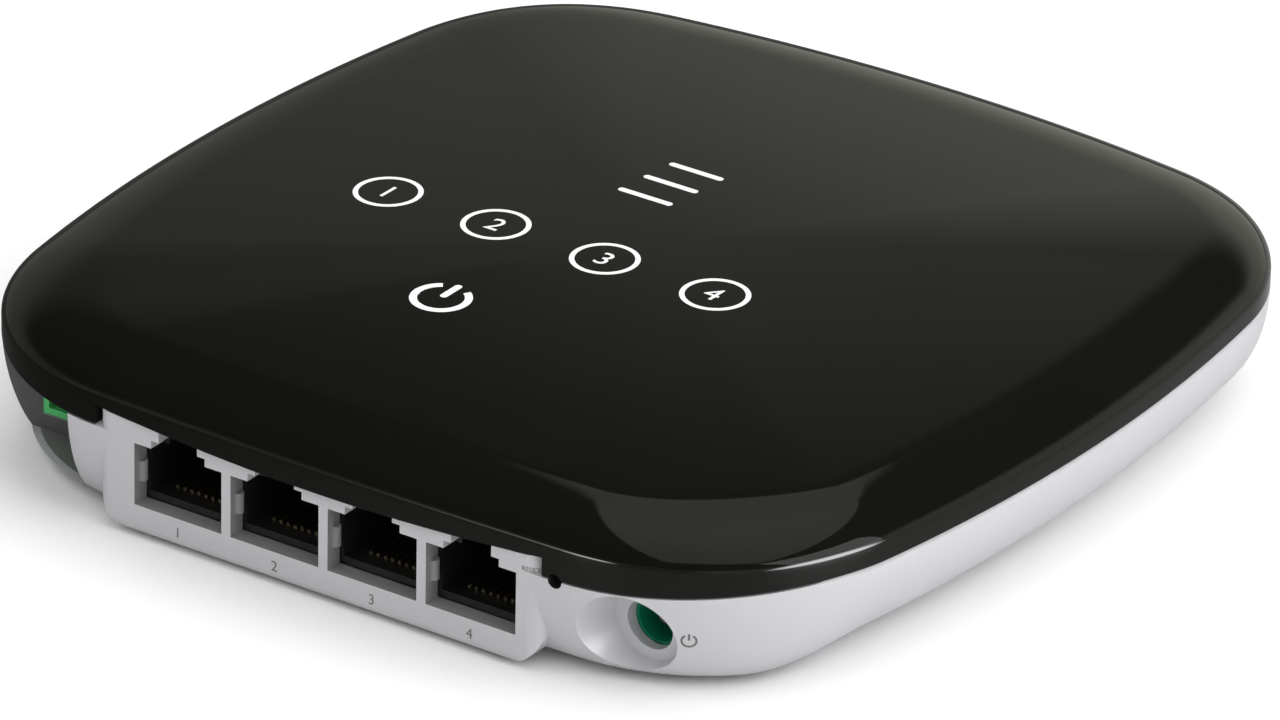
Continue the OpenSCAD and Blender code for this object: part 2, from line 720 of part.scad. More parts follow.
// Network jacks: one moulded block with stepped cavities
module jack_block() color("#101010") {
    difference() {
        block(0, jack_front, board_top, [jack_w, jack_depth, jack_h]);
        each_jack() {
            block(0, jack_front - eps, cavity_z, [cavity_w, cavity_depth + eps, cavity_h]);
            block(0, jack_front - eps, cavity_z, [channel_w, cavity_depth + eps, cavity_h + channel_h]);
        }
    }
}

// Contact wires that spring up from the floor of each jack towards its back
module jack_contacts() color("#c9a24a") {
    y = jack_front + contact_set;
    each_jack() for (i = [0 : contact_count - 1])
        translate([(i - (contact_count - 1) / 2) * contact_pitch - contact_t / 2, y, cavity_z])
            rotate([90, 0, 90]) linear_extrude(contact_t)
                polygon([[-contact_tail, 0], [contact_t, 0], [contact_run, contact_rise - contact_t],
                    [contact_run, contact_rise], [0, contact_t], [-contact_tail, contact_t]]);
}

// Fibre socket: square adapter with a key slot, a flange and a round core for the sleeve
sleeve_y = adapter_y + plug_depth - sleeve_len / 2;
module fibre_adapter() color("#33b14a") {
    core_r = sleeve_r + cover_wall / 2;
    difference() {
        union() {
            difference() {
                union() {
                    block(-fibre_x, adapter_y, adapter_z, [adapter_w, adapter_len, adapter_h]);
                    block(-fibre_x, fibre_wall + base_wall + fit_gap, adapter_z,
                        [flange_w, flange_t, flange_h]);
                }
                block(-fibre_x, adapter_y - eps, fibre_z - plug_h / 2, [plug_w, plug_depth + eps, plug_h]);
                block(-fibre_x, adapter_y - eps, fibre_z, [key_w, key_len + eps, adapter_h]);
            }
            along_y(-fibre_x, fibre_z, core_r, sleeve_y, adapter_y + plug_depth + eps);
        }
        along_y(-fibre_x, fibre_z, sleeve_r + screw_gap, sleeve_y - eps, sleeve_y + sleeve_len + fit_gap);
    }
}

module alignment_sleeve() color("#f2f2ee") {
    difference() {
        along_y(-fibre_x, fibre_z, sleeve_r, sleeve_y, sleeve_y + sleeve_len);
        along_y(-fibre_x, fibre_z, sleeve_bore_r, sleeve_y - eps, sleeve_y + sleeve_len / 2);
    }
}

// Optical module: a metal block on the board with a round can at its side and back
module optical_module() color("#b9bcc0") {
    block(-fibre_x, optics_y, board_top, [optics_w, optics_len, fibre_z - board_top + optics_rise]);
    along_y(-fibre_x, fibre_z, can_r, optics_y + optics_len - eps, optics_y + optics_len + can_r);
    translate([-fibre_x, optics_y + optics_len / 2, fibre_z]) rotate([0, 90, 0])
        cylinder(h = optics_w / 2 + can_r, r = can_r);
}

// A drawn sheet-metal can, open underneath
module shield_can(x, y, w, d) {
    difference() {
        block(x, y - d / 2, board_top, [w, d, shield_h]);
        block(x, y - d / 2 + sheet_t, board_top - eps,
            [w - 2 * sheet_t, d - 2 * sheet_t, shield_h + eps - sheet_t]);
    }
}

magnetic_y = jack_back + magnetic_gap;
module optics_shield() color("#c4c6c8")
    shield_can(optics_shield_x, magnetic_y + magnetic_d + optics_shield_gap + optics_shield_d / 2,
        optics_shield_w, optics_shield_d);

module radio_shield() color("#c4c6c8") shield_can(radio_x, radio_y, radio_w, radio_d);

// Power inlet
module power_jack() color("#1d6b3f") {
    difference() {
        block(power_x, power_front, board_top, [power_w, power_len, power_z - board_top + power_up]);
        along_y(power_x, power_z, power_bore_r, power_front - eps, power_front + power_depth);
        along_y(power_x, power_z, power_pin_r, power_front, power_front + power_depth + pin_root);
    }
}

module power_pin() color("#c8c8c8") {
    along_y(power_x, power_z, power_pin_r, power_front + pin_back, power_front + power_depth + pin_root);
}

// Reset switch on its stand, with a plunger that a pin pushes towards the back
plunger_y = switch_y - plunger_len / 2;
module reset_switch() color("#2a2a2c") {
    difference() {
        block(reset_x, switch_y, switch_z, [switch_w, switch_d, switch_h]);
        along_y(reset_x, reset_z, plunger_r + plunger_gap, switch_y - eps,
            plunger_y + plunger_len + plunger_travel + fit_gap);
    }
}

module switch_stand() color("#3a3a3c")
    block(reset_x, switch_y, board_top, [switch_w, switch_d, switch_z - board_top]);

module reset_plunger() color("#ded8c8") {
    along_y(reset_x, reset_z, plunger_r, plunger_y, plunger_y + plunger_len);
}

// Indicators: lamps on the board, clear guides above them and a black shield around the guides
bars_w = bars_len + bar_w;
bars_d = 2 * (bars_pitch + bar_w);
guide_z = board_top + lamp_h + fit_gap;
function row_at(i) = row_x + (i - (jack_count - 1) / 2) * row_pitch;
power_mark = [row_x + power_mark_dx, row_y + power_mark_dy];
bars_mark = [row_x + bars_dx, row_y + bars_dy];
module each_round_mark() {
    for (i = [0 : jack_count - 1]) translate([row_at(i), row_y, 0]) children();
    translate(power_mark) children();
}

module light_guides() color("#e8eef2") {
    each_round_mark() translate([0, 0, guide_z]) cylinder(h = inner_top - guide_z - fit_gap, r = guide_r);
    translate(bars_mark) block(0, -bars_d / 2, guide_z, [bars_w, bars_d, inner_top - guide_z - fit_gap]);
}

module light_shield() color("#1b1b1d") {
    tube_r = guide_r + fit_gap + shade_wall;
    rise = inner_top - board_top - 2 * fit_gap;
    spine = [row_at(jack_count - 1) - row_at(0), tube_r];
    web_z = board_top + rise / 2;
    difference() {
        union() {
            each_round_mark() translate([0, 0, board_top]) cylinder(h = rise, r = tube_r);
            translate(bars_mark) block(0, -bars_d / 2 - fit_gap - shade_wall, board_top,
                [bars_w + 2 * (fit_gap + shade_wall), bars_d + 2 * (fit_gap + shade_wall), rise]);
            block(row_x, row_y - spine[1] / 2, web_z, [spine[0], spine[1], shade_web]);
            block(power_mark[0], power_mark[1], web_z, [spine[1], -power_mark_dy, shade_web]);
            block(bars_mark[0], row_y, web_z, [spine[1], bars_dy, shade_web]);
        }
        each_round_mark() cylinder(h = 2 * reach, r = guide_r + fit_gap);
        translate(bars_mark) block(0, -bars_d / 2 - fit_gap, 0,
            [bars_w + 2 * fit_gap, bars_d + 2 * fit_gap, 2 * reach]);
    }
}

module lamp() {
    block(0, -lamp_w / 2, board_top, [lamp_w, lamp_w, lamp_h]);
}

module status_lamps() color("#f4f0d8") {
    each_round_mark() lamp();
    for (i = [-1, 0, 1]) translate([bars_mark[0], bars_mark[1] + i * bars_pitch, 0]) lamp();
}

// Processor with its pad and heat plate
module processor() color("#202022")
    block(chip_x, chip_y - chip_w / 2, board_top, [chip_w, chip_w, chip_h]);

module thermal_pad() color("#8fa3b5")
    block(chip_x, chip_y - chip_w / 2, board_top + chip_h, [chip_w, chip_w, pad_t]);

module heat_plate() color("#b4b6b8") {
    z = board_top + chip_h + pad_t;
    fin_pitch = (plate_w - plate_t) / (fin_count - 1);
    block(chip_x, chip_y - plate_w / 2, z, [plate_w, plate_w, plate_t]);
    for (i = [0 : fin_count - 1])
        block(chip_x + (i - (fin_count - 1) / 2) * fin_pitch, chip_y - plate_w / 2, z + plate_t - eps,
            [plate_t, plate_w, fin_h]);
}

// Small components
module line_transformers() color("#18181a") {
    for (s = [-1, 1])
        block(s * magnetic_pitch / 2, magnetic_y, board_top, [magnetic_len, magnetic_d, magnetic_h]);
}

cap_y = power_front + power_len + cap_gap + cap_r;
module buffer_capacitors() color("#2c2f45") {
    for (s = [-1, 1]) translate([power_x + s * cap_pitch / 2, cap_y, board_top]) {
        cylinder(h = cap_h, r = cap_r);
        block(0, -cap_r, 0, [2 * cap_r, 2 * cap_r, cap_foot]);
    }
}

module power_inductor() color("#39393b") {
    block(power_x, cap_y + cap_r + coil_gap, board_top, [coil_w, coil_w, coil_h]);
}

// An upright stamped antenna with a short leg, a feed leg and a long arm
module antenna(s) {
    leg = antenna_leg;
    translate([s * antenna_x, board_back - antenna_edge, board_top]) mirror([s < 0 ? 1 : 0, 0, 0])
        rotate([90, 0, 0]) linear_extrude(sheet_t)
            polygon([[0, 0], [leg, 0], [leg, antenna_h - leg], [2 * leg, antenna_h - leg], [2 * leg, 0],
                [3 * leg, 0], [3 * leg, antenna_h - leg], [antenna_len, antenna_h - leg],
                [antenna_len, antenna_h], [0, antenna_h]]);
}
module antenna_left() color("#cfcfca") antenna(-1);
module antenna_right() color("#cfcfca") antenna(1);

// Fasteners and feet
module screw(len) {
    recess_r = head_r / 2;
    difference() {
        union() {
            cylinder(h = head_h, r = head_r);
            translate([0, 0, head_h - eps]) cylinder(h = len, r = screw_r);
        }
        for (a = [0, 90]) rotate(a)
            block(0, -recess_r, -eps, [recess_r / 2, 2 * recess_r, head_h / 2 + eps]);
    }
}

module board_screws() color("#a9abad") {
    at_board_screws() translate([0, 0, board_top + head_h]) mirror([0, 0, 1]) screw(board_screw_len);
}

module case_screws() color("#a9abad") {
    at_case_screws() translate([0, 0, base_z]) screw(case_screw_len);
}

module rubber_feet() color("#4a4b4d") {
    at_corners(foot_x, foot_y) {
        cylinder(h = foot_proud / 2 + eps, r1 = foot_r - foot_proud / 2, r2 = foot_r);
        translate([0, 0, foot_proud / 2]) cylinder(h = foot_proud / 2 + foot_recess, r = foot_r);
    }
}

top_cover();
base_shell();
main_board();
jack_block();
jack_contacts();
fibre_adapter();
alignment_sleeve();
optical_module();
optics_shield();
power_jack();
power_pin();
reset_switch();
switch_stand();
reset_plunger();
light_shield();
light_guides();
status_lamps();
processor();
thermal_pad();
heat_plate();
radio_shield();
line_transformers();
buffer_capacitors();
power_inductor();
antenna_left();
antenna_right();
board_screws();
case_screws();
rubber_feet();
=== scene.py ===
"""Dresses the packed fibre gateway: a smooth gloss cover, a moulded base with its port panel, printed
marks, finishes for every node, and a pale studio stage."""

import math

import bmesh
import bpy
from mathutils import Matrix, Vector
from mathutils.bvhtree import BVHTree


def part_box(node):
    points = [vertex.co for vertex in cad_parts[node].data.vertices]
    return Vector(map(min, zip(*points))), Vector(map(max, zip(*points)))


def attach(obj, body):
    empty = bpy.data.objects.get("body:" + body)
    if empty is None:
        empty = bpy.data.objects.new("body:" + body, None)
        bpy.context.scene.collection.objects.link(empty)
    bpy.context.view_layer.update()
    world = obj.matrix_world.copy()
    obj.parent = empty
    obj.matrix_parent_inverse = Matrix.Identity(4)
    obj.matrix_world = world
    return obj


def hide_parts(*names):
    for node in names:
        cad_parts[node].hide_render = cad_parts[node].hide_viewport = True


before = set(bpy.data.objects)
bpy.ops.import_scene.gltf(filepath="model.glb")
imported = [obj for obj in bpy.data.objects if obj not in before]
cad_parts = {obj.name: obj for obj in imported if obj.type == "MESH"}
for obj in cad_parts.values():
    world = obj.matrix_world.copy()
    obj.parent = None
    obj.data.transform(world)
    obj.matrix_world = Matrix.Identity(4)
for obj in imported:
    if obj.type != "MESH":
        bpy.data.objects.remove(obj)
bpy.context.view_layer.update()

bl_info = {
    "name": "Fibre gateway",
    "version": (1, 0, 0),
    "blender": (4, 5, 0),
    "location": "View3D > Sidebar > Gateway",
    "description": "Builds the looks of a low fibre gateway around its packed solids",
    "category": "Object",
}

MM = 0.001
BODY = "chassis"
QUARTER_TURN = math.pi / 2

# Longer than any cut is deep
REACH = 20 * MM

# Vertices that lie closer than this are one: in a shape, and along the seam of a mirror
WELD = 1e-7
SEAM_WELD = 1e-6

# Tolerance at the edges of the tinted zones of the base
NEAR = 0.02 * MM


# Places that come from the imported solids

COVER_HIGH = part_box("top_cover")[1]
BASE_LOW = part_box("base_shell")[0]
JACKS_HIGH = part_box("jack_block")[1]
FEET_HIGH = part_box("rubber_feet")[1]
BOARD_LOW, BOARD_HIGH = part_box("main_board")
ADAPTER_LOW, ADAPTER_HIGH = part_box("fibre_adapter")
INLET_LOW, INLET_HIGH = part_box("power_jack")
PIN_LOW, PIN_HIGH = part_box("power_pin")
PLUNGER_LOW, PLUNGER_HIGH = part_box("reset_plunger")
SWITCH_LOW, SWITCH_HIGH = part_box("reset_switch")
SCREWS_LOW, SCREWS_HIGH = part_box("case_screws")


def length(name, description, millimetres):
    """A length property with its default in millimetres."""
    return bpy.props.FloatProperty(
        name=name, description=description, default=millimetres * MM, min=0, precision=5, unit="LENGTH"
    )


def position(name, description, millimetres):
    """A place along an axis, with its default in millimetres."""
    return bpy.props.FloatProperty(
        name=name, description=description, default=millimetres * MM, precision=5, unit="LENGTH"
    )


def number(name, description, value):
    """A plain number."""
    return bpy.props.FloatProperty(name=name, description=description, default=value)


def colour(name, description, value):
    """A colour property."""
    return bpy.props.FloatVectorProperty(
        name=name, description=description, default=value, size=3, min=0, max=1, subtype="COLOR"
    )


def angle(name, description, degrees):
    """An angle property with its default in degrees."""
    return bpy.props.FloatProperty(
        name=name, description=description, default=math.radians(degrees), subtype="ANGLE"
    )


class BodySizes(bpy.types.PropertyGroup):
    """Sizes of the cover and the base."""

    half: length("Half width", "Half of the body's depth", COVER_HIGH.y / MM)
    side_bow: length("Side bow", "Radius of the bow of the left, right and back sides", 240)
    front_bow: length("Front bow", "Radius of the bow of the port side", 900)
    corner: length("Corner", "Radius of the four plan corners", 30)
    parting: length("Parting line", "Height of the line where cover and base meet", 14.5)
    band: length("Cover band", "Straight band of the cover above the parting line", 2)
    rim_height: length("Rim height", "Height of the rounded rim above the band", 4.2)
    rim_width: length("Inner rim width", "Width of the rim that the inside of the cover follows", 7)
    side_rim: length("Side rim", "Width of the rim along the left, right and back sides", 10)
    port_rim: length("Port side rim", "Width of the rim along the port side", 11)
    front_rim: length("Front corner rim", "Width of the rim at the two front corners", 13)
    rear_rim: length("Rear corner rim", "Width of the rim at the two rear corners", 8)
    crown: length("Crown", "Rise of the crown from the rim to the middle of the top", 0.9)
    cover_wall: length("Cover wall", "Wall thickness of the cover", 1.7)
    base_wall: length("Base wall", "Wall thickness of the base", 1.8)
    floor: length("Base floor", "Thickness of the base floor", 1.8)
    side_tuck: length("Side tuck", "How far the base draws in under a side", 13.6)
    corner_tuck: length("Corner tuck", "How far the base draws in under a corner", 6.5)
    front_tuck: length("Front tuck", "How far the base draws in under the port side", 6.5)
    lip: length("Lip", "Chamfer along the upper edge of the base", 0.4)
    tongue_height: length("Tongue height", "Depth of the locating tongue below the cover", 1.2)
    tongue: length("Tongue", "Thickness of the locating tongue", 1.1)
    fit: length("Fit", "Clearance between pieces that fit together", 0.15)
    boss: length("Boss", "Radius of a screw boss or post", 3)
    skirt_drop: length("Skirt drop", "How far the lower edge of the cover dips along the port side", 1.5)
    skirt_start: length("Skirt start", "Distance in front of the middle where that dip starts", 45)
    roof: length("Roof", "Thickness of the roof over the fibre recess", 1)


class PanelSizes(bpy.types.PropertyGroup):
    """Sizes of the port side."""

    left: length("Left end", "Distance of the left end of the panel from the middle", 33)
    right: length("Right end", "Distance of the right end of the panel from the middle", 30.7)
    end: length("End rounding", "Radius along the two upright ends", 2.2)
    setback: length("Setback", "How far the panel stands back from the body's reach", 0.6)
    thick: length("Thickness", "Thickness of the panel", 2.4)
    sag: length("Sag", "Depth of the middle of the upper edge below the parting line", 0.45)
    rise: length("Rise", "Rise of the upper edge from its middle to its left end", 1.45)
    rounding: length("Rounding", "Radius of the rolled lower edge", 1.6)
    corner: length("Lower corner", "Radius of the two lower corners", 5.5)
    drop: length("Foot drop", "How far the foot of the panel hangs below the base", 0.4)
    pitch: length("Jack pitch", "Pitch of the network jacks", 13.97)
    window: length("Window width", "Width of a jack window", 12.67)
    window_low: length("Window foot", "Height of the lower edge of the windows", 4.4)
    window_height: length("Window height", "Height of the wide part of a window", 8)
    step: length("Latch step width", "Width of the lower latch step of a window", 7.8)
    step_height: length("Latch step height", "Height of the lower latch step", 1)
    slot: length("Latch slot width", "Width of the upper latch slot", 5.6)
    nub: length("Nub", "Radius of the guide nub on the left wall of a window", 0.7)
    nub_height: length("Nub height", "Height of that nub", 2.6)
    recess_beside: length("Recess edge", "Distance of the fibre recess from the end of the panel", 4.5)
    recess_low: length("Recess ledge", "Height of the ledge left under the recess", 2.4)
    scoop: length("Scoop mouth", "Radius of the mouth of the scoop in front of the inlet", 6.8)
    scoop_end: length("Scoop end", "Radius of the scoop where it ends around the inlet", 4.6)
    mouth_beside: length("Mouth offset", "How far the mouth of the scoop lies beside the inlet", 0.4)
    mouth_below: length("Mouth drop", "How far the mouth of the scoop lies below the inlet", 0.9)
    end_beside: length("End offset", "How far the end of the scoop lies beside the inlet", 0.2)
    end_below: length("End drop", "How far the end of the scoop lies below the inlet", 0.1)
    # A pale strip along the edge of the recess ledge, left out of the painted shade so that it shows lit
    strip_x: length("Strip middle X", "Distance of the pale strip's centre beside the middle", 32.16)
    strip_y: length("Strip middle Y", "Distance of that centre in front of the middle", 34.41)
    strip_in: length("Strip radius", "Inner radius of the pale strip on the ledge", 25.6)
    strip_full: length("Strip fade start", "Distance beside the middle where that strip starts to fade", 49)
    strip_end: length("Strip fade end", "Distance beside the middle where it has faded", 56)
    inlet: length("Inlet", "Radius of the inlet hole", 3.2)
    bore: length("Screw bore", "Radius of the bores that take a screw's thread", 1.3)
    shank: length("Screw clearance", "Radius of the holes that a screw passes through", 1.4)
    head: length("Screw head seat", "Radius of the seats of the case screws' heads", 2.55)
    head_height: length("Screw head", "Height of a screw's head", 1.2)
    foot: length("Foot seat", "Radius of the seats of the feet", 5.15)
    vent: length("Vent width", "Width of a cooling slot", 1.6)
    vent_pitch: length("Vent pitch", "Pitch of the cooling slots", 4)
    vent_start: length("Vent start", "Distance of the cooling slots behind the middle", 10)
    vent_length: length("Vent length", "Length of a cooling slot", 16)
    socket: length("Socket width", "Width of the fibre adapter's body", 10.6)
    socket_height: length("Socket height", "Height of the fibre adapter's body", 9)
    pinhole: length("Pinhole", "Radius of the reset pinhole", 0.9)


class StageSettings(bpy.types.PropertyGroup):
    """Camera, lamp and floor."""

    turn: angle("Camera turn", "Camera's turn round the part from its port side", 34.406)
    lift: angle("Camera lift", "Camera's height above the floor as an angle", 26.507)
    roll: angle("Camera roll", "Camera's roll", 1.156)
    distance: length("Camera distance", "Distance of the camera from the origin", 1318.9)
    origin_x: number("Origin X", "Image column of the origin", 641.5)
    origin_y: number("Origin Y", "Image row of the origin", 403.9)
    focal: number("Focal", "Focal length in image pixels", 11001.0)
    floor: colour("Floor", "Colour of the floor", (0.9, 0.9, 0.9))
    key_power: number("Key power", "Power of the key lamp in watts", 6)
    key_size: length("Key size", "Side of the key lamp", 900)


class MainColours(bpy.types.PropertyGroup):
    """Colours of the large pieces, of the painted shade in the fibre recess and inside the pinhole, and of
    the marks.
    """

    cover: colour("Cover", "Polished black of the cover", (0.004, 0.004, 0.003))
    base: colour("Base", "Pale grey of the base", (0.5, 0.5, 0.52))
    windows: colour("Window walls", "Grey of the walls inside the jack windows", (0.22, 0.22, 0.22))
    # Painted shade of the fibre recess: its walls painted dark grey, its ledge a lighter grey
    recess: colour("Recess", "Dark grey of the walls of the fibre recess", (0.09, 0.09, 0.09))
    ledge: colour("Ledge", "Grey of the ledge under the recess", (0.19, 0.19, 0.19))
    # Painted shade inside the reset pinhole, near black
    pinhole: colour("Pinhole", "Near black of the inside of the pinhole", (0.02, 0.02, 0.02))
    cover_marks: colour("Cover marks", "White of the marks on the cover", (0.8, 0.8, 0.8))
    port_marks: colour("Port marks", "Grey of the marks on the port side", (0.1, 0.1, 0.1))


# Shaping helpers

ROD_SIDES = 48
HOLE_SIDES = 24
SEAT_SIDES = 32
PINHOLE_SIDES = 40
INLET_SIDES = 96
SCOOP_SIDES = 128
CRISP_ANGLE = math.radians(32)


def part_object(name, bm, merge=True):
    """A new object at the origin from a finished bmesh."""
    if merge:
        bmesh.ops.remove_doubles(bm, verts=bm.verts, dist=WELD)
    mesh = bpy.data.meshes.new(name)
    bm.to_mesh(mesh)
    bm.free()
    piece = bpy.data.objects.new(name, mesh)
    bpy.context.scene.collection.objects.link(piece)
    return piece


def combine(piece, tool, operation="DIFFERENCE"):
    """Cuts a tool's shape from a piece, or joins it on, and takes the tool out of the scene."""
    change = piece.modifiers.new(operation.lower(), "BOOLEAN")
    change.operation = operation
    change.solver = "EXACT"
    change.object = tool
    result = piece.evaluated_get(bpy.context.evaluated_depsgraph_get())
    mesh = bpy.data.meshes.new_from_object(result)
    piece.modifiers.clear()
    piece.data = mesh
    mesh.name = piece.name
    bpy.data.objects.remove(tool)
    if not mesh.polygons:
        raise RuntimeError(f"nothing is left of {piece.name}")
    return piece


def prism(name, points, push):
    """A closed prism from a flat outline and the vector that it is pushed along."""
    bm = bmesh.new()
    face = bm.faces.new([bm.verts.new(p) for p in points])
    pushed = bmesh.ops.extrude_face_region(bm, geom=[face])["geom"]
    moved = [v for v in pushed if isinstance(v, bmesh.types.BMVert)]
    bmesh.ops.translate(bm, verts=moved, vec=push)
    bmesh.ops.recalc_face_normals(bm, faces=bm.faces)
    return part_object(name, bm)


def box(name, low, high):
    """A closed box between two corners."""
    bm = bmesh.new()
    bmesh.ops.create_cube(bm, size=1)
    low, high = Vector(low), Vector(high)
    bmesh.ops.scale(bm, verts=bm.verts, vec=high - low)
    bmesh.ops.translate(bm, verts=bm.verts, vec=(low + high) / 2)
    return part_object(name, bm)


def rod(name, start, end, radius, sides=ROD_SIDES, end_radius=None):
    """A closed round rod, or a cone, from one point to another."""
    start, end = Vector(start), Vector(end)
    along = end - start
    turn = along.to_track_quat("Z", "Y").to_matrix().to_4x4()
    bm = bmesh.new()
    bmesh.ops.create_cone(
        bm,
        cap_ends=True,
        segments=sides,
        radius1=radius,
        radius2=radius if end_radius is None else end_radius,
        depth=along.length,
        matrix=Matrix.Translation((start + end) / 2) @ turn,
    )
    return part_object(name, bm)


def lifted(place, z):
    """A place in plan, lifted to a height."""
    return Vector((place.x, place.y, z))


def shade(piece):
    """Smooth shading, with sharp edges kept crisp."""
    piece.data.shade_smooth()
    piece.data.set_sharp_from_angle(angle=CRISP_ANGLE)
    return piece


# Plan outline and lofts of the body

FLAT_STEPS = 12
BEND_STEPS = 28
DIP_POWER = 1.5
DIAGONAL = math.sqrt(0.5)


def meeting(first, first_radius, second, second_radius):
    """Where two circles meet, on the right of the line from the first middle to the second."""
    apart = (second - first).length
    along = (first_radius ** 2 - second_radius ** 2 + apart ** 2) / (2 * apart)
    aside = math.sqrt(first_radius ** 2 - along ** 2)
    ahead = (second - first) / apart
    return first + along * ahead + aside * Vector((ahead.y, -ahead.x))


def plan_loop(bm, body):
    """The closed plan outline; each vertex keeps its place and its outward direction in two layers."""
    place = bm.verts.layers.float_vector.new("place")
    outward = bm.verts.layers.float_vector.new("outward")
    side_centre = body.half - body.side_bow
    front_centre = body.half - body.front_bow
    side_r, front_r = (bow - body.corner for bow in (body.side_bow, body.front_bow))
    front = meeting(Vector((0, front_centre)), front_r, Vector((side_centre, 0)), side_r)
    back = meeting(Vector((0, side_centre)), side_r, Vector((side_centre, 0)), side_r)
    front_turn = math.atan2(front.x, front.y - front_centre)
    low_turn = math.atan2(front.y, front.x - side_centre)
    high_turn = math.atan2(back.y, back.x - side_centre)
    runs = (
        ((0, -front_centre), front_turn, FLAT_STEPS),
        ((front.x, -front.y), QUARTER_TURN - front_turn - low_turn, BEND_STEPS),
        ((side_centre, 0), low_turn + high_turn, BEND_STEPS),
        ((back.x, back.y), QUARTER_TURN - 2 * high_turn, BEND_STEPS),
        ((0, side_centre), high_turn, FLAT_STEPS),
    )
    tip = bm.verts.new((0, -body.half, 0))
    tip[outward] = (0, -1, 0)
    for centre, turn, steps in runs:
        middle = Vector((*centre, 0))
        known = len(bm.verts)
        spun = bmesh.ops.spin(bm, geom=[tip], cent=middle, axis=(0, 0, 1), angle=turn, steps=steps)
        tip = next(v for v in spun["geom_last"] if isinstance(v, bmesh.types.BMVert))
        bm.verts.ensure_lookup_table()
        for vert in bm.verts[known:]:
            vert[outward] = (vert.co - middle).normalized()
    bmesh.ops.mirror(bm, geom=bm.verts[:] + bm.edges[:], axis="X", merge_dist=SEAM_WELD)
    for vert in bm.verts:
        out = vert[outward]
        vert[outward] = (math.copysign(abs(out.x), vert.co.x), out.y, 0)
        vert[place] = vert.co
    return place, outward


def skirt_dip(body, y):
    """How far the lower edge of the cover dips at a depth."""
    share = max(0.0, (-y - body.skirt_start) / (body.half - body.skirt_start))
    return body.skirt_drop * share ** DIP_POWER


class Ring:
    """One level of a loft: how far it is drawn in at the sides, the front, the front corners and the rear
    corners, its height, its shrink towards the middle, and how much of the skirt's dip it takes."""

    def __init__(self, side, z, front=None, corner=None, rear=None, shrink=1.0, dip=0.0):
        self.side = side
        self.front = side if front is None else front
        self.corner = side if corner is None else corner
        self.rear = self.corner if rear is None else rear
        self.z = z
        self.shrink = shrink
        self.dip = dip

    def point(self, body, place, out):
        """Where a vertex of the plan goes on this level."""
        flat = self.front if out.y < -DIAGONAL else self.side
        corner = self.corner if out.y < 0 else self.rear
        draw = flat + (corner - flat) * (2 * out.x * out.y) ** 2
        x, y = (place - out * draw).xy * self.shrink
        return Vector((x, y, self.z - self.dip * skirt_dip(body, place.y)))


def loft(name, body, rings):
    """A closed skin over a stack of rings, capped at both ends."""
    bm = bmesh.new()
    place, outward = plan_loop(bm, body)
    for vert in bm.verts:
        vert.co = rings[0].point(body, vert[place], vert[outward])
    edges = bm.edges[:]
    bmesh.ops.edgeloop_fill(bm, edges=edges)
    for ring in rings[1:]:
        grown = bmesh.ops.extrude_edge_only(bm, edges=edges)["geom"]
        edges = [e for e in grown if isinstance(e, bmesh.types.BMEdge)]
        for vert in (v for v in grown if isinstance(v, bmesh.types.BMVert)):
            vert.co = ring.point(body, vert[place], vert[outward])
    bmesh.ops.edgeloop_fill(bm, edges=edges)
    bmesh.ops.recalc_face_normals(bm, faces=bm.faces)
    for layer in ("place", "outward"):
        bm.verts.layers.float_vector.remove(bm.verts.layers.float_vector[layer])
    return part_object(name, bm, merge=False)


def arch(body, panel, low, grow, y, steps=24):
    """Front view of the panel, grown all round, with an upper edge that lifts to both ends."""
    right, left = panel.right + grow, -panel.left - grow
    points = [Vector((right, y, low))]
    for i in range(2 * steps + 1):
        x = right + (left - right) * i / (2 * steps)
        lift = panel.rise * (x / panel.left) ** 2
        points.append(Vector((x, y, body.parting - panel.sag + lift + grow)))
    return points + [Vector((left, y, low))]


# Cover

RIM_STEPS = 18
RIM_END = math.radians(87)
CROWN_SHARES = (0.97, 0.92, 0.86, 0.78, 0.7, 0.6, 0.5, 0.4, 0.3, 0.2, 0.1)


def rim_turns(steps):
    """Even turns from the foot of a rim to its top."""
    return [QUARTER_TURN * i / steps for i in range(steps + 1)]


def cover_rings(body):
    """Levels of the cover, from the middle of its ceiling round its lower edge to the top."""
    band_z = body.parting + body.band
    rim_z = band_z + body.rim_height
    inner_top = rim_z - body.cover_wall
    tongue_in = body.base_wall + body.fit
    tongue_low = body.parting - body.tongue_height
    crown = [(share, body.crown * (1 - share * share)) for share in CROWN_SHARES]
    inner_width = body.rim_width - body.cover_wall
    inner_height = body.rim_height - body.cover_wall
    rings = [Ring(body.rim_width, inner_top + rise, shrink=share) for share, rise in reversed(crown)]
    for turn in reversed(rim_turns(RIM_STEPS // 2)):
        draw = body.rim_width - inner_width * math.cos(turn)
        rings.append(Ring(draw, band_z + inner_height * math.sin(turn)))
    rings += [
        Ring(tongue_in + body.tongue, band_z - body.band / 2),
        Ring(tongue_in + body.tongue, tongue_low),
        Ring(tongue_in, tongue_low),
        Ring(tongue_in, body.parting, dip=1),
        Ring(body.fit, body.parting, dip=1),
        Ring(0, body.parting + body.fit, dip=1),
    ]
    for turn in (RIM_END * turn / QUARTER_TURN for turn in rim_turns(RIM_STEPS)):
        share = (1 - math.cos(turn)) / (1 - math.cos(RIM_END))
        height = body.rim_height * math.sin(turn) / math.sin(RIM_END)
        rings.append(rim_ring(body, share, band_z + height))
    rings += [rim_ring(body, 1, rim_z + rise, share) for share, rise in crown]
    return rings


def rim_ring(body, share, z, shrink=1.0):
    """A level of the outside of the rim, drawn in by a share of the rim's width."""
    return Ring(
        body.side_rim * share,
        z,
        front=body.port_rim * share,
        corner=body.front_rim * share,
        rear=body.rear_rim * share,
        shrink=shrink,
    )


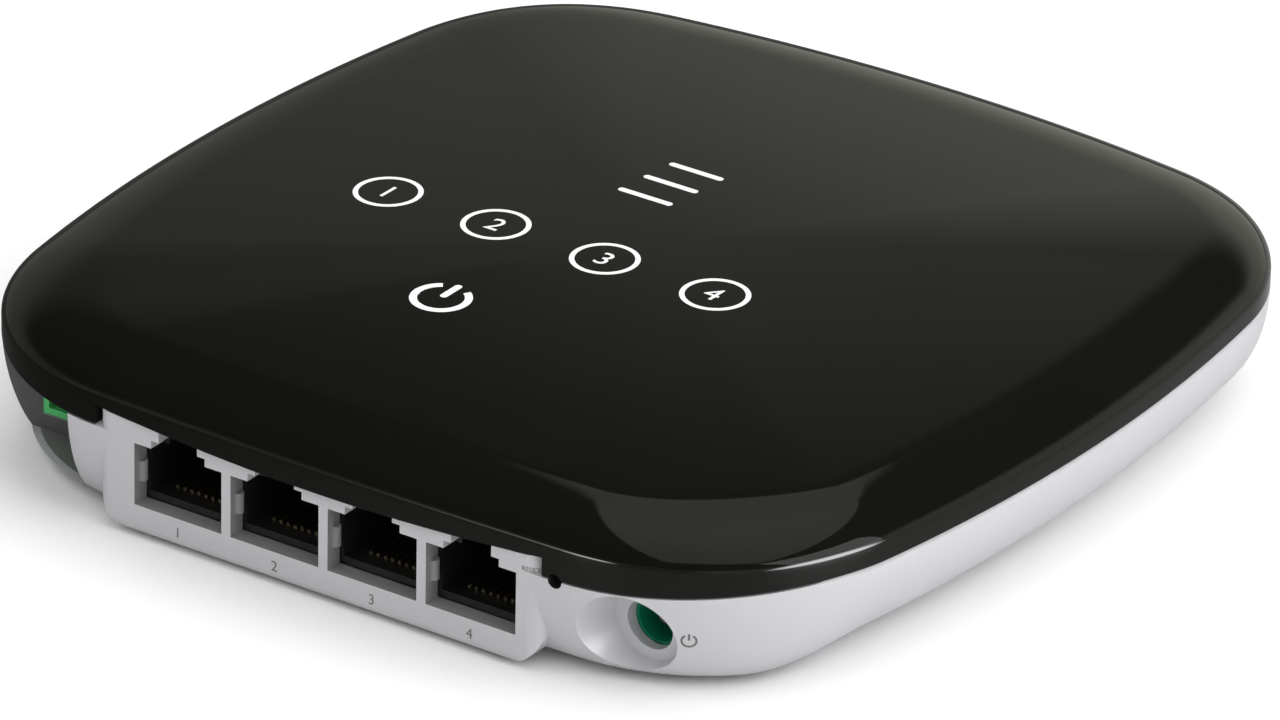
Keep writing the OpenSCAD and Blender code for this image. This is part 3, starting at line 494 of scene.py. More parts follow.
def cluster_middles(node):
    """Plan middles of a node's four pieces, one in each quarter of the plan."""
    quarters = {}
    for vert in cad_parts[node].data.vertices:
        quarters.setdefault((vert.co.x > 0, vert.co.y > 0), []).append(vert.co)
    middles = []
    for points in quarters.values():
        low = [min(p[i] for p in points) for i in range(2)]
        high = [max(p[i] for p in points) for i in range(2)]
        middles.append(Vector(((low[0] + high[0]) / 2, (low[1] + high[1]) / 2, 0)))
    return middles


def panel_front(body, panel):
    """How far forward the flat of the panel stands."""
    return -body.half + panel.setback


def inlet_wall(body):
    """Depth of the wall that the power inlet sits behind."""
    return INLET_LOW.y - body.fit - body.base_wall


def recess_wall(body):
    """Depth of the wall behind the fibre recess."""
    return ADAPTER_LOW.y - body.fit


def recess_inside(panel):
    """Distance from the middle of the inner face of the wall beside the fibre recess."""
    return panel.left + panel.recess_beside - panel.thick


def jack_side(body):
    """Distance from the middle of the walls beside the jacks."""
    return JACKS_HIGH.x + body.fit


def reset_place():
    """Middle of the reset plunger in X and Z."""
    middle = (PLUNGER_LOW + PLUNGER_HIGH) / 2
    return Vector((middle.x, 0, middle.z))


def pinhole(body, panel):
    """Cutter of the reset pinhole."""
    start = reset_place() + Vector((0, -2 * body.half, 0))
    end = reset_place() + Vector((0, SWITCH_LOW.y, 0))
    return rod("pinhole", start, end, panel.pinhole, PINHOLE_SIDES)


def build_cover(body, panel):
    """The gloss cover, notched for the panel and the jacks, with the roof of the recess and four posts."""
    cover = loft("cover", body, cover_rings(body))
    far = 2 * body.half
    front = panel_front(body, panel)
    back = inlet_wall(body) + body.base_wall
    recess_back = recess_wall(body) + body.base_wall
    tongue_in = body.base_wall + body.fit
    inside = loft("inside", body, [Ring(body.base_wall, 0), Ring(body.base_wall, body.parting)])
    ahead = box("ahead", (-far, -far, -REACH), (far, recess_back + panel.thick, REACH))
    combine(cover, combine(inside, ahead, "INTERSECT"))
    combine(cover, prism("notch", arch(body, panel, -REACH, body.fit, back), (0, -REACH, 0)))
    combine(cover, pinhole(body, panel))
    low = (-jack_side(body), front + panel.thick, 0)
    high = (jack_side(body), back + panel.thick, JACKS_HIGH.z + body.fit)
    combine(cover, box("jack_bay", low, high))
    roof = loft("roof", body, [Ring(tongue_in, body.parting), Ring(tongue_in, body.parting + body.roof)])
    corner = (-recess_inside(panel) - body.fit, recess_back, 2 * REACH)
    combine(cover, combine(roof, box("beside", (-far, -far, -REACH), corner), "INTERSECT"), "UNION")
    add_posts(cover, body, panel)
    return shade(cover)


def add_posts(cover, body, panel):
    """The four posts of the cover that take the case screws."""
    low = BOARD_HIGH.z + body.fit
    top = body.parting + body.band + body.rim_height - body.cover_wall / 2
    bore_top = SCREWS_HIGH.z + body.fit
    for middle in cluster_middles("case_screws"):
        combine(cover, rod("post", lifted(middle, low), lifted(middle, top), body.boss), "UNION")
        combine(cover, rod("bore", middle, lifted(middle, bore_top), panel.bore, HOLE_SIDES))


# Base

WALL_STEPS = 22
JACKS = 4
VENTS = 9
PILOT_SHARE = 1 / 3


def base_ring(body, turn, extra=0.0):
    """A level of the base wall: the turn runs from the parting line to the floor."""
    share = 1 - math.cos(turn)
    height = body.parting - BASE_LOW.z
    return Ring(
        body.side_tuck * share + extra,
        body.parting - height * math.sin(turn),
        front=body.front_tuck * share + extra,
        corner=body.corner_tuck * share + extra,
    )


def base_skin(body):
    """Levels of the outside of the base, from the floor up to its lip."""
    rings = [base_ring(body, turn) for turn in reversed(rim_turns(WALL_STEPS)[1:])]
    return rings + [Ring(0, body.parting - body.lip), Ring(body.lip, body.parting)]


def base_hollow(body):
    """Levels of the inside of the base."""
    height = body.parting - BASE_LOW.z
    deepest = math.asin((height - body.floor) / height)
    turns = [deepest * i / WALL_STEPS for i in range(WALL_STEPS, 0, -1)]
    rings = [base_ring(body, turn, body.base_wall) for turn in turns]
    return rings + [Ring(body.base_wall, body.parting), Ring(body.base_wall, body.parting + REACH)]


def dip_cut(body, steps=24):
    """Cutter that lowers the upper edge of the base under the dipping edge of the cover."""
    x = -2 * body.half
    points = []
    for i in range(steps + 1):
        y = -body.skirt_start - (body.half + MM - body.skirt_start) * i / steps
        dip = skirt_dip(body, y)
        points.append(Vector((x, y, body.parting - dip - min(body.fit, dip))))
    points += [Vector((x, points[-1].y, 2 * REACH)), Vector((x, points[0].y, 2 * REACH))]
    return prism("dip", points, (4 * body.half, 0, 0))


def quarter(middle, radius, start, steps=10):
    """Points of a quarter turn in a plane: middle and radius, from a start angle."""
    angles = (start + QUARTER_TURN * i / steps for i in range(steps + 1))
    return [(middle[0] + radius * math.cos(a), middle[1] + radius * math.sin(a)) for a in angles]


def panel_boss(body, panel):
    """The raised port panel: its front view, trimmed by its plan with rounded ends and by its rolled foot."""
    front = panel_front(body, panel)
    back = inlet_wall(body) + body.base_wall
    low = BASE_LOW.z - panel.drop
    turned = low + panel.corner
    face = arch(body, panel, turned, 0, back)[1:-1]
    foot = quarter((panel.corner - panel.left, turned), panel.corner, math.pi)
    foot += quarter((panel.right - panel.corner, turned), panel.corner, -QUARTER_TURN)
    boss = prism("boss", face + [Vector((x, back, z)) for x, z in foot], (0, -REACH, 0))
    plan = quarter((panel.end - panel.left, front + panel.end), panel.end, math.pi)
    plan += quarter((panel.right - panel.end, front + panel.end), panel.end, -QUARTER_TURN)
    plan += [(panel.right, back), (-panel.left, back)]
    combine(boss, prism("plan", [Vector((x, y, -REACH)) for x, y in plan], (0, 0, 3 * REACH)), "INTERSECT")
    roll = quarter((front + panel.rounding, low + panel.rounding), panel.rounding, math.pi)
    side = roll + [(back, low), (back, REACH), (front, REACH)]
    across = prism("roll", [Vector((-body.half, y, z)) for y, z in side], (2 * body.half, 0, 0))
    return combine(boss, across, "INTERSECT")


def window_outline(panel, x, y):
    """Outline of one stepped jack window at a depth."""
    low = panel.window_low
    shoulder = low + panel.window_height
    step = shoulder + panel.step_height
    half, wide, slot = (width / 2 for width in (panel.window, panel.step, panel.slot))
    top = step + REACH
    right = [(half, low), (half, shoulder), (wide, shoulder), (wide, step), (slot, step), (slot, top)]
    profile = right + [(-px, pz) for px, pz in reversed(right)]
    return [Vector((x + px, y, pz)) for px, pz in profile]


def jack_middles(panel):
    """Middles of the jacks along X."""
    return [(i - (JACKS - 1) / 2) * panel.pitch for i in range(JACKS)]


def socket_hole(body, panel):
    """Cutter of the opening that the fibre adapter passes through."""
    middle = (ADAPTER_LOW.x + ADAPTER_HIGH.x) / 2
    half = panel.socket / 2 + body.fit
    low = ADAPTER_LOW.z - body.fit
    high = low + panel.socket_height + 2 * body.fit
    end = recess_wall(body) + body.base_wall + body.fit
    return box("socket_hole", (middle - half, -2 * body.half, low), (middle + half, end, high))


def hollow_base(body, panel):
    """The tapered shell with its hollow, the raised port panel and the screw bosses."""
    base = loft("base", body, base_skin(body))
    front = panel_front(body, panel)
    back = inlet_wall(body) + body.base_wall
    far = 2 * body.half
    hollow = loft("hollow", body, base_hollow(body))
    blocks = {
        "left_block": (-far, (-recess_inside(panel), recess_wall(body) + body.base_wall)),
        "right_block": (SWITCH_HIGH.x + body.fit, (far, back)),
        "pin_block": (jack_side(body), (far, front + panel.thick + body.base_wall)),
    }
    for name, (start, end) in blocks.items():
        combine(hollow, box(name, (start, -far, -REACH), (*end, far)))
    combine(base, hollow)
    combine(base, dip_cut(body))
    combine(base, box("ahead", (-panel.left, -far, 0), (panel.right, front, 2 * REACH)))
    combine(base, panel_boss(body, panel), "UNION")
    low = BASE_LOW.z + body.floor / 2
    for middle in cluster_middles("case_screws") + cluster_middles("board_screws"):
        combine(base, rod("boss", lifted(middle, low), lifted(middle, BOARD_LOW.z), body.boss), "UNION")
    return base


def cut_ports(base, body, panel):
    """Cuts the bay of the jacks, the pocket of the switch, the windows, the fibre recess and its opening."""
    front = panel_front(body, panel)
    behind = front + panel.thick
    deep = inlet_wall(body) + body.base_wall - front
    far = 2 * body.half
    top = 2 * REACH
    bay = jack_side(body)
    inside = recess_inside(panel)
    combine(base, box("bay", (-bay, behind, BASE_LOW.z + body.floor), (bay, behind + deep, top)))
    low = (0, behind + body.base_wall, BOARD_LOW.z - body.fit)
    combine(base, box("pocket", low, (SWITCH_HIGH.x + body.fit, low[1] + deep, top)))
    low = (-inside, behind, body.parting - body.skirt_drop)
    combine(base, box("above", low, (inside, behind + deep, top)))
    for x in jack_middles(panel):
        outline = window_outline(panel, x, front - REACH)
        combine(base, prism("window", outline, (0, REACH + panel.thick + body.fit, 0)))
    edge = panel.left + panel.recess_beside
    combine(base, box("recess", (-far, -far, panel.recess_low), (-edge, recess_wall(body), top)))
    combine(base, socket_hole(body, panel))


def cut_inlet(base, body, panel):
    """Cuts the slanted scoop, the inlet hole behind it and the reset pinhole."""
    wall = inlet_wall(body)
    inlet = Vector(((INLET_LOW.x + INLET_HIGH.x) / 2, 0, (PIN_LOW.z + PIN_HIGH.z) / 2))
    mouth = inlet - Vector((panel.mouth_beside, body.half, panel.mouth_below))
    end = inlet + Vector((-panel.end_beside, wall, -panel.end_below))
    combine(base, rod("scoop", mouth, end, panel.scoop, SCOOP_SIDES, panel.scoop_end))
    hole = inlet + Vector((0, wall - body.base_wall, 0))
    combine(base, rod("inlet", hole, inlet + Vector((0, INLET_LOW.y, 0)), panel.inlet, INLET_SIDES))
    combine(base, pinhole(body, panel))


def cut_underside(base, body, panel):
    """Cuts the screw holes, the seats of the feet and the cooling slots."""
    for middle in cluster_middles("case_screws"):
        combine(base, rod("shank", middle, lifted(middle, REACH), panel.shank, HOLE_SIDES))
        seat = lifted(middle, SCREWS_LOW.z + panel.head_height)
        combine(base, rod("head", middle, seat, panel.head, SEAT_SIDES))
    low = BASE_LOW.z + body.floor * PILOT_SHARE
    for middle in cluster_middles("board_screws"):
        combine(base, rod("pilot", lifted(middle, low), lifted(middle, low + REACH), panel.bore, HOLE_SIDES))
    for middle in cluster_middles("rubber_feet"):
        combine(base, rod("foot_seat", middle, lifted(middle, FEET_HIGH.z), panel.foot))
    end = panel.vent_start + panel.vent_length
    top = BASE_LOW.z + body.floor + body.fit
    for i in range(VENTS):
        x = (i - (VENTS - 1) / 2) * panel.vent_pitch - panel.vent / 2
        combine(base, box("vent", (x, panel.vent_start, 0), (x + panel.vent, end, top)))


def add_nubs(base, body, panel):
    """The guide nub on the left wall of each window."""
    y = panel_front(body, panel) + panel.thick - panel.nub - body.fit
    low = panel.window_low + (panel.window_height - panel.nub_height) / 2
    for x in jack_middles(panel):
        foot = Vector((x - panel.window / 2, y, low))
        head = lifted(foot, low + panel.nub_height)
        combine(base, rod("nub", foot, head, panel.nub, HOLE_SIDES), "UNION")


def build_base(body, panel):
    """The satin base: tapered shell, port panel with its windows, recess, scoop, holes and vents."""
    base = hollow_base(body, panel)
    cut_ports(base, body, panel)
    cut_inlet(base, body, panel)
    cut_underside(base, body, panel)
    add_nubs(base, body, panel)
    return shade(base)


# Printed marks

class MarkSizes(bpy.types.PropertyGroup):
    """Places and sizes of the printed marks."""

    ink: length("Ink", "How far a mark stands out of its surface", 0.02)
    row_x: position("Row start", "First ringed digit along X", -32.9)
    row_y: position("Row depth", "Ringed digits along Y", -6.7)
    row_pitch: length("Row pitch", "Pitch of the ringed digits", 15.9)
    ring: length("Ring", "Middle radius of a ring round a digit", 3.95)
    ring_line: length("Ring line", "Line width of a ring", 0.65)
    digit: length("Digit", "Letter size of a ringed digit", 4.4)
    power_x: position("Power sign X", "Power sign along X", -10.7)
    power_y: position("Power sign Y", "Power sign along Y", -26.6)
    power: length("Power sign", "Middle radius of the power sign", 3.3)
    power_line: length("Power line", "Line width of the power sign", 0.95)
    bars_x: position("Bars X", "Middle of the first bar along X", -7.1)
    bars_y: position("Bars Y", "First bar along Y", 10.3)
    bars_pitch: length("Bars pitch", "Pitch of the bars", 4.8)
    bars_shift: length("Bars shift", "How far each bar lies to the right of the one in front of it", 0.4)
    bars_length: length("Bar length", "Length of a bar", 7.8)
    bar: length("Bar", "Width of a bar", 0.95)
    port_digit: length("Port digit", "Letter size of the digits under the jacks", 1.9)
    port_z: length("Port digit height", "Height of those digits", 2.6)
    reset_word: length("Reset word", "Letter size of the word beside the pinhole", 0.85)
    reset_x: length("Reset word X", "Place of that word along X", 28.9)
    reset_z: length("Reset word Z", "Height of that word", 13.3)
    small_power: length("Small power sign", "Middle radius of the sign beside the inlet", 0.85)
    small_line: length("Small power line", "Line width of that sign", 0.26)
    small_x: length("Small sign X", "Place of that sign along X", 47.67)
    small_y: position("Small sign Y", "Place of that sign along Y", -59.12)
    small_z: length("Small sign Z", "Height of that sign", 7.84)
    small_turn: angle("Small sign turn", "Turn of that sign towards the rounded corner", 32)


DIGITS = 4
BARS = 3
POWER_GAP = math.radians(64)
RING_STEPS = 72
BAR_END_STEPS = 6
LETTER_CUTS = 10

# Shares of the radius of a power sign: length of its stem and how far up the stem's middle lies
STEM_LENGTH = 1.15
STEM_RISE = 0.62

# Share of a bar's width that its ends are rounded by
BAR_ROUNDING = 0.48

X_AXIS, Y_AXIS, Z_AXIS = Vector((1, 0, 0)), Vector((0, 1, 0)), Vector((0, 0, 1))


class MarkSheet:
    """Flat marks gathered in one bmesh and draped on the surface of a piece."""

    def __init__(self, target, ink):
        self.bm = bmesh.new()
        self.surface = BVHTree.FromPolygons(
            [v.co for v in target.data.vertices], [p.vertices for p in target.data.polygons]
        )
        self.ink = ink

    def lay(self, mark, place, right, up):
        """Turns a flat mark to face outwards, and drops each of its points inwards onto the surface."""
        out = right.cross(up)
        turn = Matrix((right, up, out)).transposed()
        for vert in mark.verts:
            start = place + turn @ Vector((vert.co.x, vert.co.y, 0)) + out * REACH
            hit = self.surface.ray_cast(start, -out)[0]
            if hit is None:
                raise RuntimeError("a mark misses its surface")
            vert.co = hit + out * vert.co.z
        mesh = bpy.data.meshes.new("mark")
        mark.to_mesh(mesh)
        mark.free()
        self.bm.from_mesh(mesh)
        bpy.data.meshes.remove(mesh)

    def ring(self, radius, line, gap=0.0):
        """A round line; a gap leaves it open at its top."""
        bm = bmesh.new()
        half = line / 2
        corners = ((-half, -self.ink), (half, -self.ink), (half, self.ink), (-half, self.ink))
        face = bm.faces.new([bm.verts.new((radius + x, 0, z)) for x, z in corners])
        bmesh.ops.rotate(bm, verts=bm.verts, matrix=Matrix.Rotation(QUARTER_TURN + gap / 2, 3, "Z"))
        geom = [face] + bm.edges[:] + bm.verts[:]
        turn = 2 * math.pi - gap
        bmesh.ops.spin(bm, geom=geom, axis=Z_AXIS, angle=turn, steps=RING_STEPS, use_merge=not gap)
        if not gap:
            bmesh.ops.delete(bm, geom=[f for f in bm.faces if f == face], context="FACES_ONLY")
        bmesh.ops.remove_doubles(bm, verts=bm.verts, dist=WELD)
        bmesh.ops.recalc_face_normals(bm, faces=bm.faces)
        return bm

    def bar(self, width, height, rise=0.0):
        """A bar with rounded ends, its middle a little way up."""
        bm = bmesh.new()
        bmesh.ops.create_cube(bm, size=1)
        bmesh.ops.scale(bm, verts=bm.verts, vec=(width, height, 2 * self.ink))
        upright = [e for e in bm.edges if abs(e.verts[0].co.z - e.verts[1].co.z) > self.ink]
        bmesh.ops.bevel(
            bm,
            geom=upright,
            offset=BAR_ROUNDING * min(width, height),
            offset_type="OFFSET",
            affect="EDGES",
            segments=BAR_END_STEPS,
            profile=0.5,
            material=-1,
        )
        bmesh.ops.translate(bm, verts=bm.verts, vec=(0, rise, 0))
        return bm

    def power_sign(self, radius, line, place, right, up):
        """Lays an open ring with a stem in its gap."""
        self.lay(self.ring(radius, line, POWER_GAP), place, right, up)
        self.lay(self.bar(line, radius * STEM_LENGTH, radius * STEM_RISE), place, right, up)

    def letters(self, words, size):
        """Letters in the plain built-in face, as a closed mesh."""
        curve = bpy.data.curves.new("letters", "FONT")
        curve.body = words
        curve.size = size
        curve.extrude = self.ink
        curve.align_x = "CENTER"
        curve.align_y = "CENTER"
        holder = bpy.data.objects.new("letters", curve)
        bpy.context.scene.collection.objects.link(holder)
        shown = holder.evaluated_get(bpy.context.evaluated_depsgraph_get())
        mesh = bpy.data.meshes.new_from_object(shown)
        bm = bmesh.new()
        bm.from_mesh(mesh)
        bmesh.ops.remove_doubles(bm, verts=bm.verts, dist=WELD)
        bmesh.ops.recalc_face_normals(bm, faces=bm.faces)
        middle = sum((v.co for v in bm.verts), Vector()) / len(bm.verts)
        low = min(v.co.y for v in bm.verts)
        high = max(v.co.y for v in bm.verts)
        for i in range(1, LETTER_CUTS):
            level = Vector((0, low + (high - low) * i / LETTER_CUTS, 0))
            geom = bm.faces[:] + bm.edges[:] + bm.verts[:]
            bmesh.ops.bisect_plane(bm, geom=geom, plane_co=level, plane_no=Y_AXIS)
        bmesh.ops.translate(bm, verts=bm.verts, vec=(-middle.x, -(low + high) / 2, 0))
        bpy.data.objects.remove(holder)
        bpy.data.meshes.remove(mesh)
        return bm


def cover_marks(cover, marks):
    """The ringed digits, the power sign and the bars on the top."""
    sheet = MarkSheet(cover, marks.ink)
    for i in range(DIGITS):
        place = Vector((marks.row_x + i * marks.row_pitch, marks.row_y, REACH))
        sheet.lay(sheet.ring(marks.ring, marks.ring_line), place, X_AXIS, Y_AXIS)
        sheet.lay(sheet.letters(str(i + 1), marks.digit), place, X_AXIS, Y_AXIS)
    place = Vector((marks.power_x, marks.power_y, REACH))
    sheet.power_sign(marks.power, marks.power_line, place, X_AXIS, Y_AXIS)
    for i in range(BARS):
        place = Vector((marks.bars_x + i * marks.bars_shift, marks.bars_y + i * marks.bars_pitch, REACH))
        sheet.lay(sheet.bar(marks.bars_length, marks.bar), place, X_AXIS, Y_AXIS)
    return part_object("cover_marks", sheet.bm, merge=False)


def panel_marks(base, panel, marks):
    """The digits under the jacks, the word beside the pinhole and the sign beside the inlet."""
    sheet = MarkSheet(base, marks.ink)
    front = BASE_LOW.y
    for i, x in enumerate(jack_middles(panel)):
        place = Vector((x, front, marks.port_z))
        sheet.lay(sheet.letters(str(i + 1), marks.port_digit), place, X_AXIS, Z_AXIS)
    place = Vector((marks.reset_x, front, marks.reset_z))
    sheet.lay(sheet.letters("RESET", marks.reset_word), place, X_AXIS, Z_AXIS)
    place = Vector((marks.small_x, marks.small_y, marks.small_z))
    right = Vector((math.cos(marks.small_turn), math.sin(marks.small_turn), 0))
    sheet.power_sign(marks.small_power, marks.small_line, place, right, Z_AXIS)
    return part_object("panel_marks", sheet.bm, merge=False)


# Shader values and finishes

class Field:
    """A socket of a node tree; arithmetic on it adds Math nodes."""

    def __init__(self, finish, socket):
        self.finish = finish
        self.socket = socket

    def _math(self, operation, first, second):
        return self.finish.node("ShaderNodeMath", {"operation": operation}, {0: first, 1: second})

    def __add__(self, other):
        return self._math("ADD", self, other)

    __radd__ = __add__

    def __sub__(self, other):
        return self._math("SUBTRACT", self, other)

    def __rsub__(self, other):
        return self._math("SUBTRACT", other, self)

    def __mul__(self, other):
        return self._math("MULTIPLY", self, other)

    __rmul__ = __mul__

    def size(self):
        """The value without its sign."""
        return self._math("ABSOLUTE", self, 0.0)

    def below(self, limit):
        """One where the value is less than a limit, else nothing."""
        return self._math("LESS_THAN", self, limit)

    def above(self, limit):
        """One where the value is more than a limit, else nothing."""
        return self._math("GREATER_THAN", self, limit)

    def ramp(self, low, high, first, last):
        """The value's run between two limits, turned into a run between two values and held at both ends."""
        return self.finish.node(
            "ShaderNodeMapRange",
            {"interpolation_type": "SMOOTHSTEP"},
            {"Value": self, "From Min": low, "From Max": high, "To Min": first, "To Max": last},
        )


class Graph:
    """A node tree and the one way that nodes are added to it."""

    tree = None

    def node(self, kind, settings, inputs, output=0):
        """Adds a node, sets its settings first and then its inputs, and gives one of its outputs."""
        node = self.tree.nodes.new(kind)
        for key, value in settings.items():
            setattr(node, key, value)
        for key, value in inputs.items():
            if isinstance(value, Field):
                self.tree.links.new(value.socket, node.inputs[key])
            else:
                node.inputs[key].default_value = value
        return Field(self, node.outputs[output])

    def parts(self, vector):
        """The three parts of a vector."""
        return [self.node("ShaderNodeSeparateXYZ", {}, {0: vector}, axis) for axis in "XYZ"]

    def is_ray(self, kind):
        """One for a kind of ray, else nothing."""
        return self.node("ShaderNodeLightPath", {}, {}, f"Is {kind} Ray")

    def between(self, first, second, share):
        """A colour between two, by a share."""
        ends = [end if isinstance(end, Field) else (*end, 1) for end in (first, second)]
        return self.node("ShaderNodeMix", {"data_type": "RGBA"}, {"Factor": share, 6: ends[0], 7: ends[1]}, 2)


class Finish(Graph):
    """A procedural material built around one Principled shader."""

    def __init__(self, name, **constants):
        self.material = bpy.data.materials.new(name)
        self.material.use_nodes = True
        self.tree = self.material.node_tree
        self.shader = self.tree.nodes["Principled BSDF"]
        for socket, value in constants.items():
            self.shader.inputs[socket.replace("_", " ")].default_value = value
        self.place = self.node("ShaderNodeTexCoord", {}, {}, "Object")

    def feed(self, socket, field):
        """Links a field to one of the shader's sockets."""
        self.tree.links.new(field.socket, self.shader.inputs[socket])

    def noise(self, scale, detail=2.0):
        """Soft noise between about 0 and 1, with its scale in features per metre."""
        inputs = {"Vector": self.place, "Scale": scale, "Detail": detail}
        return self.node("ShaderNodeTexNoise", {}, inputs)

    def drift(self, colour, lift, scale):
        """A colour that turns a little lighter in soft patches."""
        low = tuple(colour)
        return self.between(low, [part + lift for part in low], self.noise(scale))

    def uneven(self, roughness, spread, scale, detail=2.0):
        """Feeds a roughness that rises by up to a spread in soft patches."""
        self.feed("Roughness", roughness + spread * self.noise(scale, detail))

    def bump(self, height, distance, strength=1.0):
        """Feeds a height field to the shader's normal."""
        inputs = {"Height": height, "Distance": distance, "Strength": strength}
        self.feed("Normal", self.node("ShaderNodeBump", {}, inputs))


# Scales of the patterns in features per metre, and depths of the textures

PLASTIC_PATCHES = 60.0
PLASTIC_GLOSS = 400.0
PLASTIC_GRAIN = 1500.0
METAL_PATCHES = 120.0
METAL_MARKS = 1800.0
METAL_STRETCH = (0.15, 1.0, 1.0)
COVER_PATCHES = 40.0
COVER_GLOSS = 300.0
COVER_WAVES = 60.0
BASE_GRAIN = 1600.0
INK_PATCHES = 900.0
INK_GLOSS = 700.0
INK_GRAIN = 2500.0
GRAIN_DEPTH = 0.004 * MM
MARK_DEPTH = 0.003 * MM
INK_DEPTH = 0.002 * MM


def moulded(name, low, high, roughness):
    """Moulded plastic or rubber: a slight drift of colour, uneven gloss and a fine texture."""
    finish = Finish(name)
    finish.feed("Base Color", finish.between(low, high, finish.noise(PLASTIC_PATCHES)))
    finish.uneven(roughness - 0.03, 0.06, PLASTIC_GLOSS)
    finish.bump(finish.noise(PLASTIC_GRAIN, detail=3.0), GRAIN_DEPTH)
    return finish.material


def metal(name, low, high, roughness):
    """Bare or plated metal with fine rolling marks."""
    finish = Finish(name, Metallic=1.0)
    stretched = finish.node("ShaderNodeMapping", {}, {"Vector": finish.place, "Scale": METAL_STRETCH})
    inputs = {"Vector": stretched, "Scale": METAL_MARKS, "Detail": 3.0}
    marks = finish.node("ShaderNodeTexNoise", {}, inputs)
    finish.feed("Base Color", finish.between(low, high, finish.noise(METAL_PATCHES)))
    finish.feed("Roughness", roughness - 0.05 + 0.1 * marks)
    finish.bump(marks, MARK_DEPTH)
    return finish.material


def grey(value):
    """A neutral colour."""
    return (value, value, value)


def cover_gloss(colours):
    """Polished black plastic with the faintest waviness."""
    finish = Finish("cover_gloss", Specular_IOR_Level=0.25)
    finish.feed("Base Color", finish.drift(colours.cover, 0.002, COVER_PATCHES))
    finish.uneven(0.02, 0.03, COVER_GLOSS, detail=4.0)
    finish.bump(finish.noise(COVER_WAVES), GRAIN_DEPTH, 0.3)
    return finish.material


def round_zone(first, second, radius):
    """One inside a circle round the point where two values are nothing, else nothing."""
    return (first * first + second * second).below(radius ** 2)


def base_satin(body, panel, colours):
    """Fine-grained pale plastic with darker insides of the windows; painted shade darkens the fibre recess,
    its ledge and the inside of the pinhole, all but a pale strip on the ledge that is left as if lit.
    """
    finish = Finish("base_satin", Specular_IOR_Level=0.4)
    x, y, z = finish.parts(finish.place)
    edge = panel.left + panel.recess_beside
    # Painted shade: the walls of the fibre recess take the dark recess grey, its ledge a lighter grey
    recess = x.below(NEAR - edge) * y.below(recess_wall(body) + NEAR) * z.above(panel.recess_low - NEAR)
    ledge = z.below(panel.recess_low + NEAR)
    # The pale strip along the ledge is left out of the painted shade, so that it shows lit
    strip = (1.0 - round_zone(x + panel.strip_x, y + panel.strip_y, panel.strip_in)) * ledge
    strip = strip * x.ramp(-panel.strip_end, -panel.strip_full, 0.0, 1.0)
    front = panel_front(body, panel)
    lintel = panel.window_low + panel.window_height - NEAR
    inner = y.above(front + NEAR) * y.below(front + panel.thick + NEAR)
    inner = inner * z.above(panel.window_low - NEAR) * z.below(lintel)
    inner = inner * x.size().below(jack_middles(panel)[-1] + panel.window / 2 + NEAR)
    reset = reset_place()
    # Painted shade: the walls of the reset pinhole are painted near black
    pinhole_shade = round_zone(x - reset.x, z - reset.z, panel.pinhole + NEAR) * y.below(0.0)
    light = finish.drift(colours.base, 0.03, PLASTIC_PATCHES)
    walls = finish.between(light, colours.windows, inner)
    # The painted shade of the recess and its ledge, laid over the base but not on the strip
    shadow = finish.between(colours.recess, colours.ledge, ledge)
    dark = finish.between(walls, shadow, recess * (1.0 - strip))
    finish.feed("Base Color", finish.between(dark, colours.pinhole, pinhole_shade))
    finish.uneven(0.38, 0.08, PLASTIC_GLOSS)
    finish.bump(finish.noise(BASE_GRAIN, detail=3.0), GRAIN_DEPTH)
    return finish.material


def ink(name, colour, lift):
    """A thin printed ink with slightly uneven cover."""
    finish = Finish(name)
    finish.feed("Base Color", finish.drift(colour, lift, INK_PATCHES))
    finish.uneven(0.45, 0.1, INK_GLOSS)
    finish.bump(finish.noise(INK_GRAIN), INK_DEPTH)
    return finish.material


